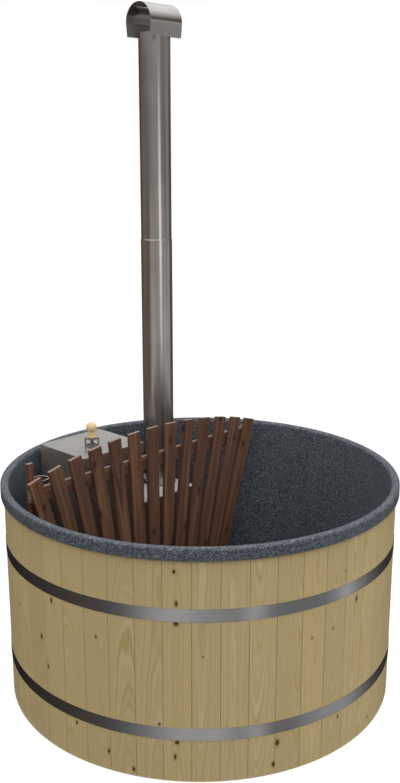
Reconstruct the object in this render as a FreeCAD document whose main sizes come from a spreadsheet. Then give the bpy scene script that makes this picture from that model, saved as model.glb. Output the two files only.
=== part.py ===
import FreeCAD, Part
import math
import os
import re

import Sketcher
from FreeCAD import Vector

# A round wooden hot tub with a wood-fired stove inside it, in millimetres.
# +X runs along the fence towards the chimney, +Y from the bathers to the stove, +Z up.
# The origin is on the tub's axis at the ground.

SIZES = [
    # the tub's wooden wall
    ("tub_radius", 890, "outside radius of the staves"),
    ("stave_count", 50, "staves round the tub"),
    ("stave_turn", 6.2, "direction of one stave joint, degrees from +X"),
    ("stave_thickness", 14, "thickness of a stave at its middle"),
    ("stave_chamfer", 1.5, "chamfer on a stave's outer edges"),
    ("bead_radius", 4, "round bead along one edge of a stave, in the next one's cove"),
    ("fit_gap", 0.3, "gap between pieces that are fitted together"),
    ("thread_gap", 0.05, "gap between pieces that are screwed or glued together"),
    # hoops
    ("hoop_width", 54, "height of a hoop's band"),
    ("hoop_thickness", 1.5, "sheet thickness of a hoop"),
    ("hoop_low", 185, "lower edge of the lower hoop"),
    ("hoop_drop", 306, "distance of the upper hoop's lower edge from the rim's top"),
    ("hoop_turn", 45, "direction of the hoops' tension bolts, degrees from +X"),
    ("hoop_opening", 36, "gap between a hoop's two ends"),
    ("lug_reach", 34, "how far a hoop's end lug stands out"),
    ("lug_plate", 4, "thickness of an end lug"),
    ("lug_bolt_reach", 20, "distance of a tension bolt from the staves"),
    ("bolt_radius", 4, "shank radius of the tension bolts"),
    ("bolt_clearance", 0.5, "clearance of a bolt in its hole"),
    ("bolt_head_corner", 7.5, "corner radius of the bolts' hexagon heads and nuts"),
    ("bolt_head_height", 6, "height of those heads and nuts"),
    # liner
    ("rim_height", 1000, "top of the liner's rim"),
    ("rim_overhang", 14, "how far the rim stands out past the staves"),
    ("rim_drop", 52, "height of the rim's outer lip"),
    ("rim_dip", 3, "how far the rim's top falls towards its inner edge"),
    ("rim_round_out", 10, "rounding of the rim's outer edge"),
    ("rim_round_in", 12, "rounding of the rim's inner edge"),
    ("lip_round", 2.5, "rounding of the lip's lower edge"),
    ("liner_wall", 8, "thickness of the liner"),
    ("liner_taper", 2, "how much narrower the liner is at its floor"),
    ("floor_round", 25, "rounding between the liner's wall and floor"),
    # bearers under the liner
    ("joist_height", 60, "height of the bearers under the liner"),
    ("joist_width", 60, "width of the bearers"),
    ("joist_edge", 156, "distance of the outer bearers' middles from the staves"),
    ("joist_count", 5, "bearers under the liner"),
    ("joist_clearance", 8, "gap between the bearers' ends and the staves"),
    # benches
    ("bench_height", 360, "top of the bench seats"),
    ("bench_wall_gap", 27.2, "gap between the seats' outer corners and the liner"),
    ("bench_board_width", 110, "width of a bench board"),
    ("bench_board_thick", 28, "thickness of a bench board"),
    ("bench_board_gap", 8, "gap between bench boards"),
    ("bench_boards", 3, "boards in each seat"),
    ("bench_sweep", 48, "angle that one seat covers, degrees"),
    ("bearer_width", 45, "width of a bench bearer and its legs"),
    ("bearer_height", 60, "height of a bench bearer"),
    ("bench_screw_inset", 12, "distance of a bench screw from the board's end"),
    # fence between the bathers and the stove
    ("fence_stove_gap", 78, "gap between the fence's rails and the stove"),
    ("slat_count", 13, "slats in the fence"),
    ("slat_width", 70, "width of a slat"),
    ("slat_thickness", 18, "thickness of a slat"),
    ("slat_length", 874, "length of a slat"),
    ("slat_chamfer", 2, "chamfer along a slat's edges"),
    ("slat_post_gap", 14.6, "distance of an outer slat's middle from its post's at the upper rail"),
    ("fan_radius", 2421, "distance of the middle slat's top from the fan's centre"),
    ("slat_rise", 139, "how far the middle slat's top stands over the rim"),
    ("slat_fall", 96.5, "how far the outer slats' tops lie under the middle one's"),
    ("rail_end", 20, "length of a rail past the middle of its post"),
    ("rail_height", 62, "height of a rail"),
    ("rail_thickness", 24, "thickness of a rail"),
    ("rail_drop", 1, "distance of the upper rail's top from the rim's top"),
    ("rail_low", 379, "underside of the lower rail"),
    ("post_width", 34, "width of a fence post"),
    ("post_thickness", 18, "thickness of a fence post"),
    ("post_wall_gap", 92.9, "distance of a post's middle from the liner"),
    ("post_rise", 111, "how far the tall post stands over the rim"),
    ("screw_radius", 2, "shank radius of the fence's and benches' screws"),
    ("screw_clearance", 0.4, "clearance of a screw in the board that it holds"),
    ("screw_head_radius", 4.5, "head radius of the screws"),
    ("screw_head_flat", 2.7, "radius of the flat on a screw's head"),
    ("screw_head_height", 2, "head height of the screws"),
    ("screw_bite", 20, "length of a screw in the wood behind the board"),
    ("post_screw_bite", 10, "length of a post's screw in the rail"),
    # stove
    ("stove_left", -335, "the stove's left side, the chute's"),
    ("stove_length", 737, "length of the stove, to its right side, the chimney's"),
    ("stove_depth", 338, "depth of the stove, from front to back"),
    ("stove_wall_gap", 122, "distance of the stove's back from the tub's outside"),
    ("stove_corner", 68, "cut across the stove's rear right corner"),
    ("stove_under", 100, "underside of the stove"),
    ("stove_sheet", 3, "sheet thickness of the stove"),
    ("firebox_top", 714, "top of the firebox"),
    ("chute_length", 375, "length of the fuel chute"),
    ("lid_rise", 30, "height of the stove's lid over the rim"),
    ("lid_sheet", 4, "thickness of the lid's plate"),
    ("lid_skirt", 25, "depth of the lid's skirt inside the chute"),
    ("lid_clearance", 2, "clearance between the skirt and the chute"),
    ("baffle_offset", 60, "distance of the air baffle from the chute's left side"),
    ("baffle_drop", 60, "how far the air baffle's top lies under the chute's mouth"),
    ("grate_height", 60, "top of the grate above the stove's floor"),
    ("grate_bar", 8, "thickness of the grate"),
    ("grate_slot", 14, "width of a slot in the grate"),
    ("grate_slots", 15, "slots in the grate"),
    ("grate_margin", 45, "distance of the grate from the stove's sides"),
    ("foot_width", 40, "side of a stove foot's square leg"),
    ("foot_flange", 24, "how far a stove foot's flange stands out on both sides"),
    ("foot_sheet", 4, "plate thickness of a stove foot"),
    ("foot_inset", 60, "distance of the feet's middles from the stove's sides"),
    # knob on the lid
    ("knob_side_gap", 163, "distance of the knob from the chute's left side"),
    ("knob_front_gap", 140, "distance of the knob from the chute's front"),
    ("cage_side", 50, "side of the square cage under the knob"),
    ("cage_height", 41, "height of the cage"),
    ("cage_sheet", 3, "thickness of the cage"),
    ("cage_window", 34, "width of a window in the cage"),
    ("cage_window_height", 29, "height of a window in the cage"),
    ("knob_ball", 26, "radius of the knob's ball"),
    ("knob_rise", 52, "height of the ball's centre over the cage"),
    ("knob_neck", 17.5, "radius of the knob's neck"),
    ("knob_base", 20, "radius of the bead at the knob's foot"),
    ("knob_bead", 5, "section radius of that bead"),
    ("stud_radius", 4, "radius of the knob's screw"),
    ("stud_length", 36, "length of that screw in the knob"),
    # flue
    ("flue_side_gap", 89, "distance of the flue's axis from the stove's right side"),
    ("flue_front_gap", 181, "distance of the flue's axis from the stove's front"),
    ("flue_radius", 79, "outside radius of the lower flue pipe"),
    ("flue_wall", 1.5, "wall of the flue pipes"),
    ("flue_slip", 0.5, "clearance of one flue pipe in the next"),
    ("flue_rise", 10, "height of the lower flue pipe's foot over the rim"),
    ("flue_lower_length", 985, "length of the lower flue pipe"),
    ("flue_upper_length", 976, "length of the upper flue pipe that shows"),
    ("flue_overlap", 60, "length of one flue pipe inside the next"),
    ("bead_reach", 2.5, "how far the stop beads stand out of the flue"),
    ("bead_height", 10, "height of a stop bead"),
    ("collar_wall", 3, "wall of the collar on the firebox"),
    ("collar_flange", 88, "radius of the collar's flange"),
    # rain hood
    ("hood_length", 205, "length of the rain hood"),
    ("hood_radius", 86, "outside radius of the hood's arch"),
    ("hood_rise", 47, "height of the arch's centre over the flue's top"),
    ("hood_grip", 21, "how far the hood's sides reach down the flue"),
    ("hood_hem", 18, "width of the hems turned in under the hood"),
    ("hood_sheet", 1.5, "sheet thickness of the hood"),
    ("hood_notch", 1, "clearance of the hems round the pipe"),
    ("rivet_radius", 4, "head radius of the hood's rivets"),
    ("rivet_height", 2, "head height of the hood's rivets"),
    ("rivet_shank", 2, "shank radius of the hood's rivets"),
    ("rivet_rise", 11, "height of the rivets over the hems"),
    # drain
    ("drain_turn", 132.32, "direction of the standpipe, degrees from +X"),
    ("drain_inset", 126.53, "distance of the standpipe's axis from the liner's wall"),
    ("standpipe_radius", 37.5, "outside radius of the standpipe"),
    ("standpipe_wall", 3, "wall of the standpipe"),
    ("water_drop", 50, "distance of the standpipe's top, the highest water, from the rim's top"),
    ("cup_wall", 5, "wall of the drain cup"),
    ("cup_flange", 55, "radius of the drain cup's flange"),
    ("cup_flange_thick", 6, "thickness of that flange"),
    ("cup_bottom", 5, "height of the drain cup's underside"),
    ("ledge_depth", 14, "depth of the standpipe's seat below the liner's floor"),
    ("ledge_width", 4.5, "width of the standpipe's seat"),
    ("gasket_thick", 2, "thickness of the rubber washers"),
    ("nut_height", 10, "height of the drain's lock nut"),
    ("outlet_radius", 20, "outside radius of the drain pipe"),
    ("outlet_wall", 3, "wall of the drain pipe"),
    ("outlet_height", 27, "height of the drain pipe's centre"),
    ("outlet_reach", 70.7, "length of the drain pipe outside the staves"),
    ("spigot_radius", 19, "outside radius of the spigot at the drain's outlet"),
    ("spigot_length", 50, "length of that spigot"),
    ("socket_depth", 26, "length of the drain pipe in the outlet's socket"),
    ("outlet_clearance", 3, "clearance of the drain pipe in the staves"),
]

doc = FreeCAD.newDocument("hot_tub")
sheet = doc.addObject("Spreadsheet::Sheet", "Sizes")
for line, (alias, size, meaning) in enumerate(SIZES, start=1):
    sheet.set(f"A{line}", meaning)
    sheet.set(f"B{line}", str(size))
    sheet.setAlias(f"B{line}", alias)
doc.recompute()

# Places that several pieces share, as expressions in the sheet's aliases.
STAVE_INNER = "(tub_radius - stave_thickness)"
STAVE_TOP = "(rim_height - rim_round_in - fit_gap)"
HOOP_HIGH = "(rim_height - hoop_drop)"
RIM_RADIUS = "(tub_radius + rim_overhang)"
LINER_OUTER = f"({STAVE_INNER} - fit_gap)"
LINER_INNER = f"({LINER_OUTER} - liner_wall)"
FLOOR_TOP = "(joist_height + liner_wall)"
BENCH_REACH = f"(({LINER_INNER} - liner_taper - bench_wall_gap) * cos(bench_sweep / 2 * 1deg))"
BEARER_TOP = "(bench_height - bench_board_thick)"
STOVE_BACK = "(tub_radius - stove_wall_gap)"
STOVE_FRONT = f"({STOVE_BACK} - stove_depth)"
STOVE_RIGHT = "(stove_left + stove_length)"
CHUTE_RIGHT = "(stove_left + chute_length)"
LID_TOP = "(rim_height + lid_rise)"
CHUTE_TOP = f"({LID_TOP} - lid_sheet - fit_gap)"
FIRE_FLOOR = "(stove_under + stove_sheet)"
KNOB_X = "(stove_left + knob_side_gap)"
KNOB_Y = f"({STOVE_FRONT} + knob_front_gap)"
CAGE_TOP = f"({LID_TOP} + cage_height)"
RAIL_BACK = f"({STOVE_FRONT} - fence_stove_gap)"
FENCE_BACK = f"({RAIL_BACK} - rail_thickness)"
FENCE_FRONT = f"({FENCE_BACK} - slat_thickness)"
POST_BACK = f"({RAIL_BACK} + post_thickness)"
POST_CENTRE = f"(sqrt({LINER_INNER} ^ 2 - {POST_BACK} ^ 2) - post_wall_gap)"
RAIL_TOP = "(rim_height - rail_drop)"
RAIL_MIDDLES = {"top": f"({RAIL_TOP} - rail_height / 2)", "bottom": "(rail_low + rail_height / 2)"}
FAN_CENTRE = "(rim_height + slat_rise - fan_radius)"
FAN_RISE = f"({RAIL_MIDDLES['top']} - {FAN_CENTRE})"
FAN_SLOPE = f"(({POST_CENTRE} - slat_post_gap) / {FAN_RISE})"
FLUE_X = f"({STOVE_RIGHT} - flue_side_gap)"
FLUE_Y = f"({STOVE_FRONT} + flue_front_gap)"
FLUE_START = "(rim_height + flue_rise)"
FLUE_JOINT = f"({FLUE_START} + flue_lower_length)"
FLUE_TOP = f"({FLUE_JOINT} + flue_upper_length)"
UPPER_FLUE = "(flue_radius - flue_wall - flue_slip)"
HOOD_CENTRE = f"({FLUE_TOP} + hood_rise)"
HOOD_UNDER = f"({FLUE_TOP} - hood_grip)"
DRAIN_X = f"(({LINER_INNER} - drain_inset) * cos(drain_turn * 1deg))"
DRAIN_Y = f"(({LINER_INNER} - drain_inset) * sin(drain_turn * 1deg))"
SEAT_RADIUS = "(standpipe_radius + fit_gap)"
CUP_OUTER = f"({SEAT_RADIUS} + cup_wall)"
LEDGE_TOP = f"({FLOOR_TOP} - ledge_depth)"
OUTLET_END = f"(sqrt(tub_radius ^ 2 - {DRAIN_Y} ^ 2) + outlet_reach)"
TURN = 360
TUB_FRONT = 270
SEATS = ("bench_seat_left", "bench_seat_front", "bench_seat_right")
parts = []


def cells(expression):
    """Name the sheet in front of each alias in an expression."""
    return re.sub(r"\b[a-z]+(?:_[a-z]+)+\b", lambda found: "Sizes." + found.group(0), str(expression))


def number(expression):
    """The present value of an expression in the sheet's aliases."""
    value = sheet.evalExpression(cells(expression))
    return float(getattr(value, "Value", value))


def place(piece, x=0, y=0, z=0, axis=(0, 0, 1), angle=0):
    """Bind a piece's place, and its turn about an axis in degrees, to the sheet."""
    spot = f"vector({cells(x)}; {cells(y)}; {cells(z)})"
    turn = f"rotation(vector({axis[0]}; {axis[1]}; {axis[2]}); ({cells(angle)}) * 1deg)"
    piece.setExpression("Placement", f"placement({spot}; {turn})")


def primitive(kind, name, **bound):
    """A Part primitive with each given property bound to the sheet."""
    piece = doc.addObject("Part::" + kind, name)
    for prop, expression in bound.items():
        piece.setExpression(prop, cells(expression))
    return piece


def box(name, low, high):
    """A Part::Box between two corners given as expressions."""
    length, width, height = (f"({b}) - ({a})" for a, b in zip(low, high))
    piece = primitive("Box", name, Length=length, Width=width, Height=height)
    place(piece, *low)
    return piece


def rod(name, radius, height, **at):
    """A Part::Cylinder that stands on the given place."""
    piece = primitive("Cylinder", name, Radius=radius, Height=height)
    place(piece, **at)
    return piece


def cut(name, base, *tools):
    """One solid with the others taken out of it."""
    piece = doc.addObject("Part::Cut", name)
    piece.Base = base
    piece.Tool = tools[0] if len(tools) == 1 else fuse(name + "_tools", *tools)
    return piece


def fuse(name, *shapes):
    """Several solids joined to one."""
    piece = doc.addObject("Part::MultiFuse", name)
    piece.Shapes = list(shapes)
    piece.Refine = True
    return piece


def keep(piece, label):
    """Note a finished sub-part under the label that names its file."""
    piece.Label = label
    parts.append(piece)
    return piece


def feature(label, solids):
    """A sub-part whose shape is worked out with Part's own functions."""
    piece = doc.addObject("Part::Feature", label)
    piece.Shape = solids[0] if len(solids) == 1 else Part.makeCompound(solids)
    return keep(piece, label)


def new_body(label):
    return keep(doc.addObject("PartDesign::Body", label), label)


def new_sketch(body, role, name):
    """A sketch on one of its own body's origin planes."""
    sketch = body.newObject("Sketcher::SketchObject", f"{body.Name}_{name}")
    plane = [item for item in body.Origin.OriginFeatures if item.Role == role][0]
    sketch.AttachmentSupport = [(plane, "")]
    sketch.MapMode = "FlatFace"
    return sketch


def pin_point(sketch, geometry, point, x, y):
    """Hold one sketch point at a place that is bound to the sheet."""
    for kind, expression in (("DistanceX", x), ("DistanceY", y)):
        value = number(expression)
        index = sketch.addConstraint(Sketcher.Constraint(kind, -1, 1, geometry, point, value))
        sketch.setExpression(f"Constraints[{index}]", cells(expression))


def outline(sketch, corners):
    """A closed outline of straight sides, each corner held by two bound distances."""
    first = sketch.GeometryCount
    spots = [Vector(number(x), number(y), 0) for x, y in corners]
    for start, end in zip(spots, spots[1:] + spots[:1]):
        sketch.addGeometry(Part.LineSegment(start, end))
    for side in range(len(spots)):
        after = first + (side + 1) % len(spots)
        sketch.addConstraint(Sketcher.Constraint("Coincident", first + side, 2, after, 1))
    for side, (x, y) in enumerate(corners):
        pin_point(sketch, first + side, 1, x, y)


def circle(sketch, x, y, radius):
    """A circle whose centre and radius are bound to the sheet."""
    middle = Vector(number(x), number(y), 0)
    index = sketch.addGeometry(Part.Circle(middle, Vector(0, 0, 1), number(radius)))
    pin_point(sketch, index, 3, x, y)
    size = sketch.addConstraint(Sketcher.Constraint("Radius", index, number(radius)))
    sketch.setExpression(f"Constraints[{size}]", cells(radius))


def rectangle(sketch, x_low, y_low, x_high, y_high):
    outline(sketch, [(x_low, y_low), (x_high, y_low), (x_high, y_high), (x_low, y_high)])


def pad(body, sketch, length, reverse=False):
    """Pad a sketch by a bound length."""
    step = body.newObject("PartDesign::Pad", f"{sketch.Name}_pad")
    step.Profile = sketch
    step.setExpression("Length", cells(length))
    step.Reversed = reverse
    return step


def pocket(body, sketch, length, reverse=False):
    """Cut a sketch out of the body to a bound depth."""
    step = body.newObject("PartDesign::Pocket", f"{sketch.Name}_pocket")
    step.Profile = sketch
    step.setExpression("Length", cells(length))
    step.Reversed = reverse
    return step


def turned(label, corners, x=0, y=0, z=0):
    """A round piece: its half section, as (radius, height) corners, turned about its own axis."""
    body = new_body(label)
    section = new_sketch(body, "XZ_Plane", "section")
    outline(section, corners)
    step = body.newObject("PartDesign::Revolution", f"{label}_turn")
    step.Profile = section
    step.ReferenceAxis = (section, ["V_Axis"])
    step.Angle = TURN
    place(body, x, y, z)
    return body


def ring_corners(inner, outer, low, high):
    return [(inner, low), (outer, low), (outer, high), (inner, high)]


def dress(body, kind, name, size, wanted):
    """Fillet or chamfer, by a bound size, the edges that a test picks."""
    doc.recompute()
    base = body.Tip
    names = [f"Edge{count}" for count, edge in enumerate(base.Shape.Edges, start=1) if wanted(edge)]
    step = body.newObject("PartDesign::" + kind, name)
    step.Base = (base, names)
    step.setExpression("Radius" if kind == "Fillet" else "Size", cells(size))
    return step


def circle_at(radius, height):
    """A test for the round edges of a turned piece at one radius and height."""
    wanted_radius, wanted_height = number(radius), number(height)

    def test(edge):
        box_of_edge = edge.BoundBox
        flat = box_of_edge.ZLength < 0.01 and abs(box_of_edge.ZMin - wanted_height) < 0.01
        return flat and abs(box_of_edge.XMax - wanted_radius) < 0.01

    return test


def turned_about_z(shape, degrees, height=0):
    """A copy of a shape, turned about the tub's axis and lifted."""
    copy = shape.copy()
    copy.rotate(Vector(), Vector(0, 0, 1), degrees)
    copy.translate(Vector(0, 0, height))
    return copy


# ---------------------------------------------------------------- tub wall

def stave_solid():
    """One stave: round outside, flat inside, with a bead on one edge and a cove in the other."""
    outer, inner = number("tub_radius"), number(STAVE_INNER)
    half = math.radians(number(f"{TURN} / stave_count") / 2) - number("fit_gap") / 2 / outer
    chamfer, bead = number("stave_chamfer"), number("bead_radius")
    middle = (outer + inner) / 2

    def at(radius, angle):
        return Vector(radius * math.cos(angle), radius * math.sin(angle), 0)

    corner = half - chamfer / outer
    arc = Part.Arc(at(outer, -corner), at(outer, 0), at(outer, corner)).toShape()
    inner_corner = inner / math.cos(half)
    lines = [at(outer, corner), at(outer - chamfer, half), at(inner_corner, half),
             at(inner_corner, -half), at(outer - chamfer, -half), at(outer, -corner)]
    sides = [Part.makeLine(start, end) for start, end in zip(lines, lines[1:])]
    board = Part.Face(Part.Wire(Part.__sortEdges__([arc] + sides)))
    height = number(STAVE_TOP)
    solid = board.extrude(Vector(0, 0, height))
    bead_rod = Part.makeCylinder(bead, height, at(middle, half))
    cove = Part.makeCylinder(bead + number("fit_gap"), height, at(middle, -half))
    return solid.fuse(bead_rod).removeSplitter().cut(cove)


def staves():
    """The coopered wall, notched at its foot where the drain pipe comes out."""
    count = int(number("stave_count"))
    pitch = TURN / count
    one = stave_solid()
    reach, length = number("outlet_radius + outlet_clearance"), number("2 * tub_radius")
    middle, height = number(DRAIN_Y), number("outlet_height")
    arch = Part.makeCylinder(reach, length, Vector(0, middle, height), Vector(1, 0, 0))
    notch = arch.fuse(Part.makeBox(length, 2 * reach, 2 * height, Vector(0, middle - reach, -height)))
    solids = []
    for stave in range(count):
        solid = turned_about_z(one, number("stave_turn") + (stave + 0.5) * pitch)
        if solid.BoundBox.intersect(notch.BoundBox):
            solid = solid.cut(notch)
        solids.extend(solid.Solids)
    feature("staves", solids)


def hoop(label, low):
    """A sheet band round the staves; its two ends are folded out as lugs for the tension bolt."""
    inner = "(tub_radius + fit_gap)"
    outer = f"({inner} + hoop_thickness)"
    gap_angle = "(hoop_opening / tub_radius * 180 / pi)"
    full = primitive("Cylinder", label + "_out", Radius=outer, Height="hoop_width",
                     Angle=f"{TURN} - {gap_angle}")
    turn = f"hoop_turn + {gap_angle} / 2"
    place(full, z=low, angle=turn)
    hollow = rod(label + "_in", inner, "hoop_width", z=low)
    band = cut(label + "_band", full, hollow)
    lugs = []
    for side, name in ((1, "left"), (-1, "right")):
        lug = primitive("Box", f"{label}_lug_{name}", Length="lug_reach", Width="lug_plate",
                        Height="hoop_width")
        offset = "(hoop_opening / 2)" if side > 0 else "(-hoop_opening / 2 - lug_plate)"
        place(lug, *hoop_spot(inner, offset), low, angle="hoop_turn")
        lugs.append(lug)
    reach = f"({inner} + lug_bolt_reach)"
    length = "(hoop_opening + 4 * lug_plate)"
    hole = primitive("Cylinder", label + "_hole", Radius="bolt_radius + bolt_clearance", Height=length)
    place(hole, *hoop_spot(reach, f"{length} / 2"), f"{low} + hoop_width / 2", axis=bolt_axis(), angle=90)
    return keep(cut(label, fuse(label + "_joined", band, *lugs), hole), label)


def bolt_axis():
    """The axis that lays a standing cylinder down along the band at the tension bolt."""
    turn = math.radians(number("hoop_turn"))
    return (math.cos(turn), math.sin(turn), 0)


def hoop_spot(reach, along):
    """A point by its distance from the axis and its distance along the band from the gap's middle."""
    return (f"{reach} * cos(hoop_turn * 1deg) - {along} * sin(hoop_turn * 1deg)",
            f"{reach} * sin(hoop_turn * 1deg) + {along} * cos(hoop_turn * 1deg)")


def hexagon(radius, height):
    """A bolt head or nut, standing on the XY plane, by its corner radius."""
    points = [Vector(radius * math.cos(side * math.pi / 3), radius * math.sin(side * math.pi / 3), 0)
              for side in range(7)]
    return Part.Face(Part.makePolygon(points)).extrude(Vector(0, 0, height))


def hoop_bolts():
    """A bolt and nut that draw each hoop's ends together."""
    radius, head, corner = number("bolt_radius"), number("bolt_head_height"), number("bolt_head_corner")
    outer_half = number("hoop_opening / 2 + lug_plate")
    solids = []
    for low in ("hoop_low", HOOP_HIGH):
        shank = Part.makeCylinder(radius, 2 * outer_half + 2 * head, Vector(0, 0, -outer_half))
        bolt_head = hexagon(corner, head)
        bolt_head.translate(Vector(0, 0, -outer_half - head))
        bolt = shank.fuse(bolt_head)
        nut = hexagon(corner, head).cut(Part.makeCylinder(radius + number("thread_gap"), head))
        nut.translate(Vector(0, 0, outer_half))
        for solid in (bolt, nut):
            solid.rotate(Vector(), Vector(1, 0, 0), -90)
            reach = number("tub_radius + fit_gap + lug_bolt_reach")
            solid.translate(Vector(reach, 0, number(f"{low} + hoop_width / 2")))
            solids.append(turned_about_z(solid, number("hoop_turn")))
    feature("hoop_bolts", solids)


# ---------------------------------------------------------------- liner and what carries it

def liner():
    """A moulded shell: floor, wall and a rim that rolls out over the staves' tops."""
    narrow_out = f"({LINER_OUTER} - liner_taper)"
    narrow_in = f"({LINER_INNER} - liner_taper)"
    lip_inner = f"({RIM_RADIUS} - liner_wall)"
    lip_low = "(rim_height - rim_drop)"
    rim_inner = "(rim_height - rim_dip)"
    under_rim = "(rim_height - liner_wall)"
    drain = f"({CUP_OUTER} + fit_gap)"
    body = turned("liner", [
        (0, "joist_height"), (narrow_out, "joist_height"), (LINER_OUTER, under_rim),
        (lip_inner, under_rim), (lip_inner, lip_low), (RIM_RADIUS, lip_low),
        (RIM_RADIUS, "rim_height"), (LINER_INNER, rim_inner),
        (narrow_in, FLOOR_TOP), (0, FLOOR_TOP)])
    roundings = [
        ("rim_under", "rim_round_in - liner_wall", (LINER_OUTER, under_rim)),
        ("rim_out", "rim_round_out", (RIM_RADIUS, "rim_height")),
        ("rim_in", "rim_round_in", (LINER_INNER, rim_inner)),
        ("lip", "lip_round", (RIM_RADIUS, lip_low)),
        ("floor_in", "floor_round", (narrow_in, FLOOR_TOP)),
        ("floor_out", "floor_round + liner_wall", (narrow_out, "joist_height"))]
    for name, size, (radius, height) in roundings:
        dress(body, "Fillet", f"liner_{name}", size, circle_at(radius, height))
    hole = new_sketch(body, "XY_Plane", "drain_hole")
    circle(hole, DRAIN_X, DRAIN_Y, drain)
    pocket(body, hole, f"2 * {FLOOR_TOP}", reverse=True)


def base_joists():
    """Square bearers on the ground, each cut to the chord that it spans inside the staves."""
    width, count = number("joist_width"), int(number("joist_count"))
    reach = number(f"{STAVE_INNER} - joist_clearance")
    spacing = 2 * number(f"{STAVE_INNER} - joist_edge") / (count - 1)
    solids = []
    for row in range(count):
        y = (row - (count - 1) / 2) * spacing
        half = math.sqrt(reach ** 2 - (abs(y) + width / 2) ** 2)
        corner = Vector(-half, y - width / 2, 0)
        solids.append(Part.makeBox(2 * half, width, number("joist_height"), corner))
    feature("base_joists", solids)


# ---------------------------------------------------------------- benches

def seat_angle(seat):
    """Direction of a seat's middle: the seats lie side by side round the tub's front."""
    return f"({TUB_FRONT} + ({seat} - {(len(SEATS) - 1) / 2}) * bench_sweep)"


def bench_seats():
    """Three mitred seats, each of three boards that lie across their bearers."""
    for seat, label in enumerate(SEATS):
        body = new_body(label)
        boards = new_sketch(body, "XY_Plane", "boards")
        for row in range(int(number("bench_boards"))):
            outer = f"({BENCH_REACH} - {row} * (bench_board_width + bench_board_gap))"
            inner = f"({outer} - bench_board_width)"
            slope = "tan(bench_sweep / 2 * 1deg)"
            joint = "(bench_board_gap / 2)"
            outline(boards, [
                (inner, f"{joint} - {inner} * {slope}"), (outer, f"{joint} - {outer} * {slope}"),
                (outer, f"{outer} * {slope} - {joint}"), (inner, f"{inner} * {slope} - {joint}")])
            middle = f"({outer} - bench_board_width / 2)"
            for side in (-1, 1):
                hole = f"{side} * ({middle} * {slope} - {joint} - bench_screw_inset)"
                circle(boards, middle, hole, "screw_radius + screw_clearance")
        pad(body, boards, "bench_board_thick")
        dress(body, "Chamfer", label + "_edges", "slat_chamfer", is_long_top_edge)
        place(body, z=BEARER_TOP, angle=seat_angle(seat))


def is_long_top_edge(edge):
    """The straight upper edges along a board that lies flat."""
    limits = edge.BoundBox
    level = abs(limits.ZMin - number("bench_board_thick")) < 0.01 and limits.ZLength < 0.01
    return level and limits.XLength < 0.01 and limits.YLength > number("bench_board_width")


def bearer_angles():
    """Directions of the bearers: under each mitre, and just inside both ends of the bench."""
    count = len(SEATS)
    sweep = number("bench_sweep")
    start = TUB_FRONT - count * sweep / 2
    inset = math.degrees(number("bearer_width") / 2 / number(f"{BENCH_REACH} - 2 * bench_board_width"))
    angles = [start + step * sweep for step in range(count + 1)]
    angles[0] += inset
    angles[-1] -= inset
    return angles


def bench_frame():
    """Radial bearers on two legs each, from the tub's floor to the seats."""
    width, height = number("bearer_width"), number("bearer_height")
    top, floor = number(BEARER_TOP), number(FLOOR_TOP)
    outer = number(f"{BENCH_REACH} + bearer_width / 2")
    inner = number(f"{BENCH_REACH} - bench_boards * (bench_board_width + bench_board_gap)")
    bearer = Part.makeBox(outer - inner, width, height, Vector(inner, -width / 2, top - height))
    bearers, legs = [], []
    for angle in bearer_angles():
        bearers.append(turned_about_z(bearer, angle))
        for start in (inner + width, outer - 2 * width):
            leg = Part.makeBox(width, width, top - height - floor, Vector(start, -width / 2, floor))
            legs.append(turned_about_z(leg, angle))
    feature("bench_bearers", bearers)
    feature("bench_legs", legs)


def screw(bite, board):
    """A pan-head screw along -Z through a board of the given thickness, its seat at the origin."""
    radius, head = number("screw_radius"), number("screw_head_height")
    shank = Part.makeCylinder(radius, board + bite, Vector(0, 0, -board - bite))
    dome = Part.makeCone(number("screw_head_radius"), number("screw_head_flat"), head)
    return shank.fuse(dome)


def bench_screws():
    """A screw in each end of each bench board."""
    one = screw(number("screw_bite"), number("bench_board_thick"))
    slope = math.tan(math.radians(number("bench_sweep") / 2))
    solids = []
    for seat in range(len(SEATS)):
        for row in range(int(number("bench_boards"))):
            pitch = number("bench_board_width + bench_board_gap")
            middle = number(f"{BENCH_REACH} - bench_board_width / 2") - row * pitch
            across = middle * slope - number("bench_board_gap / 2 + bench_screw_inset")
            for side in (-1, 1):
                solid = one.copy()
                solid.translate(Vector(middle, side * across, number("bench_height")))
                solids.append(turned_about_z(solid, number(seat_angle(seat))))
    feature("bench_screws", solids)


# ---------------------------------------------------------------- fence

def slat_place(slat):
    """Place of a slat in the fan, from -1 for the first on the left to 1 for the last."""
    return f"(2 * {slat} / (slat_count - 1) - 1)"


def slat_angle(slat):
    """Tilt of a slat, so that all of them point away from the fan's centre."""
    return f"(atan({slat_place(slat)} * {FAN_SLOPE}) / 1deg)"


def post_middle(name, height):
    """Sideways place of a post: the left one is upright, the right one leans as its slat does."""
    if name == "left":
        return f"(-{POST_CENTRE})"
    return f"({POST_CENTRE} - ({RAIL_MIDDLES['top']} - {height}) * {FAN_SLOPE})"


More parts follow.
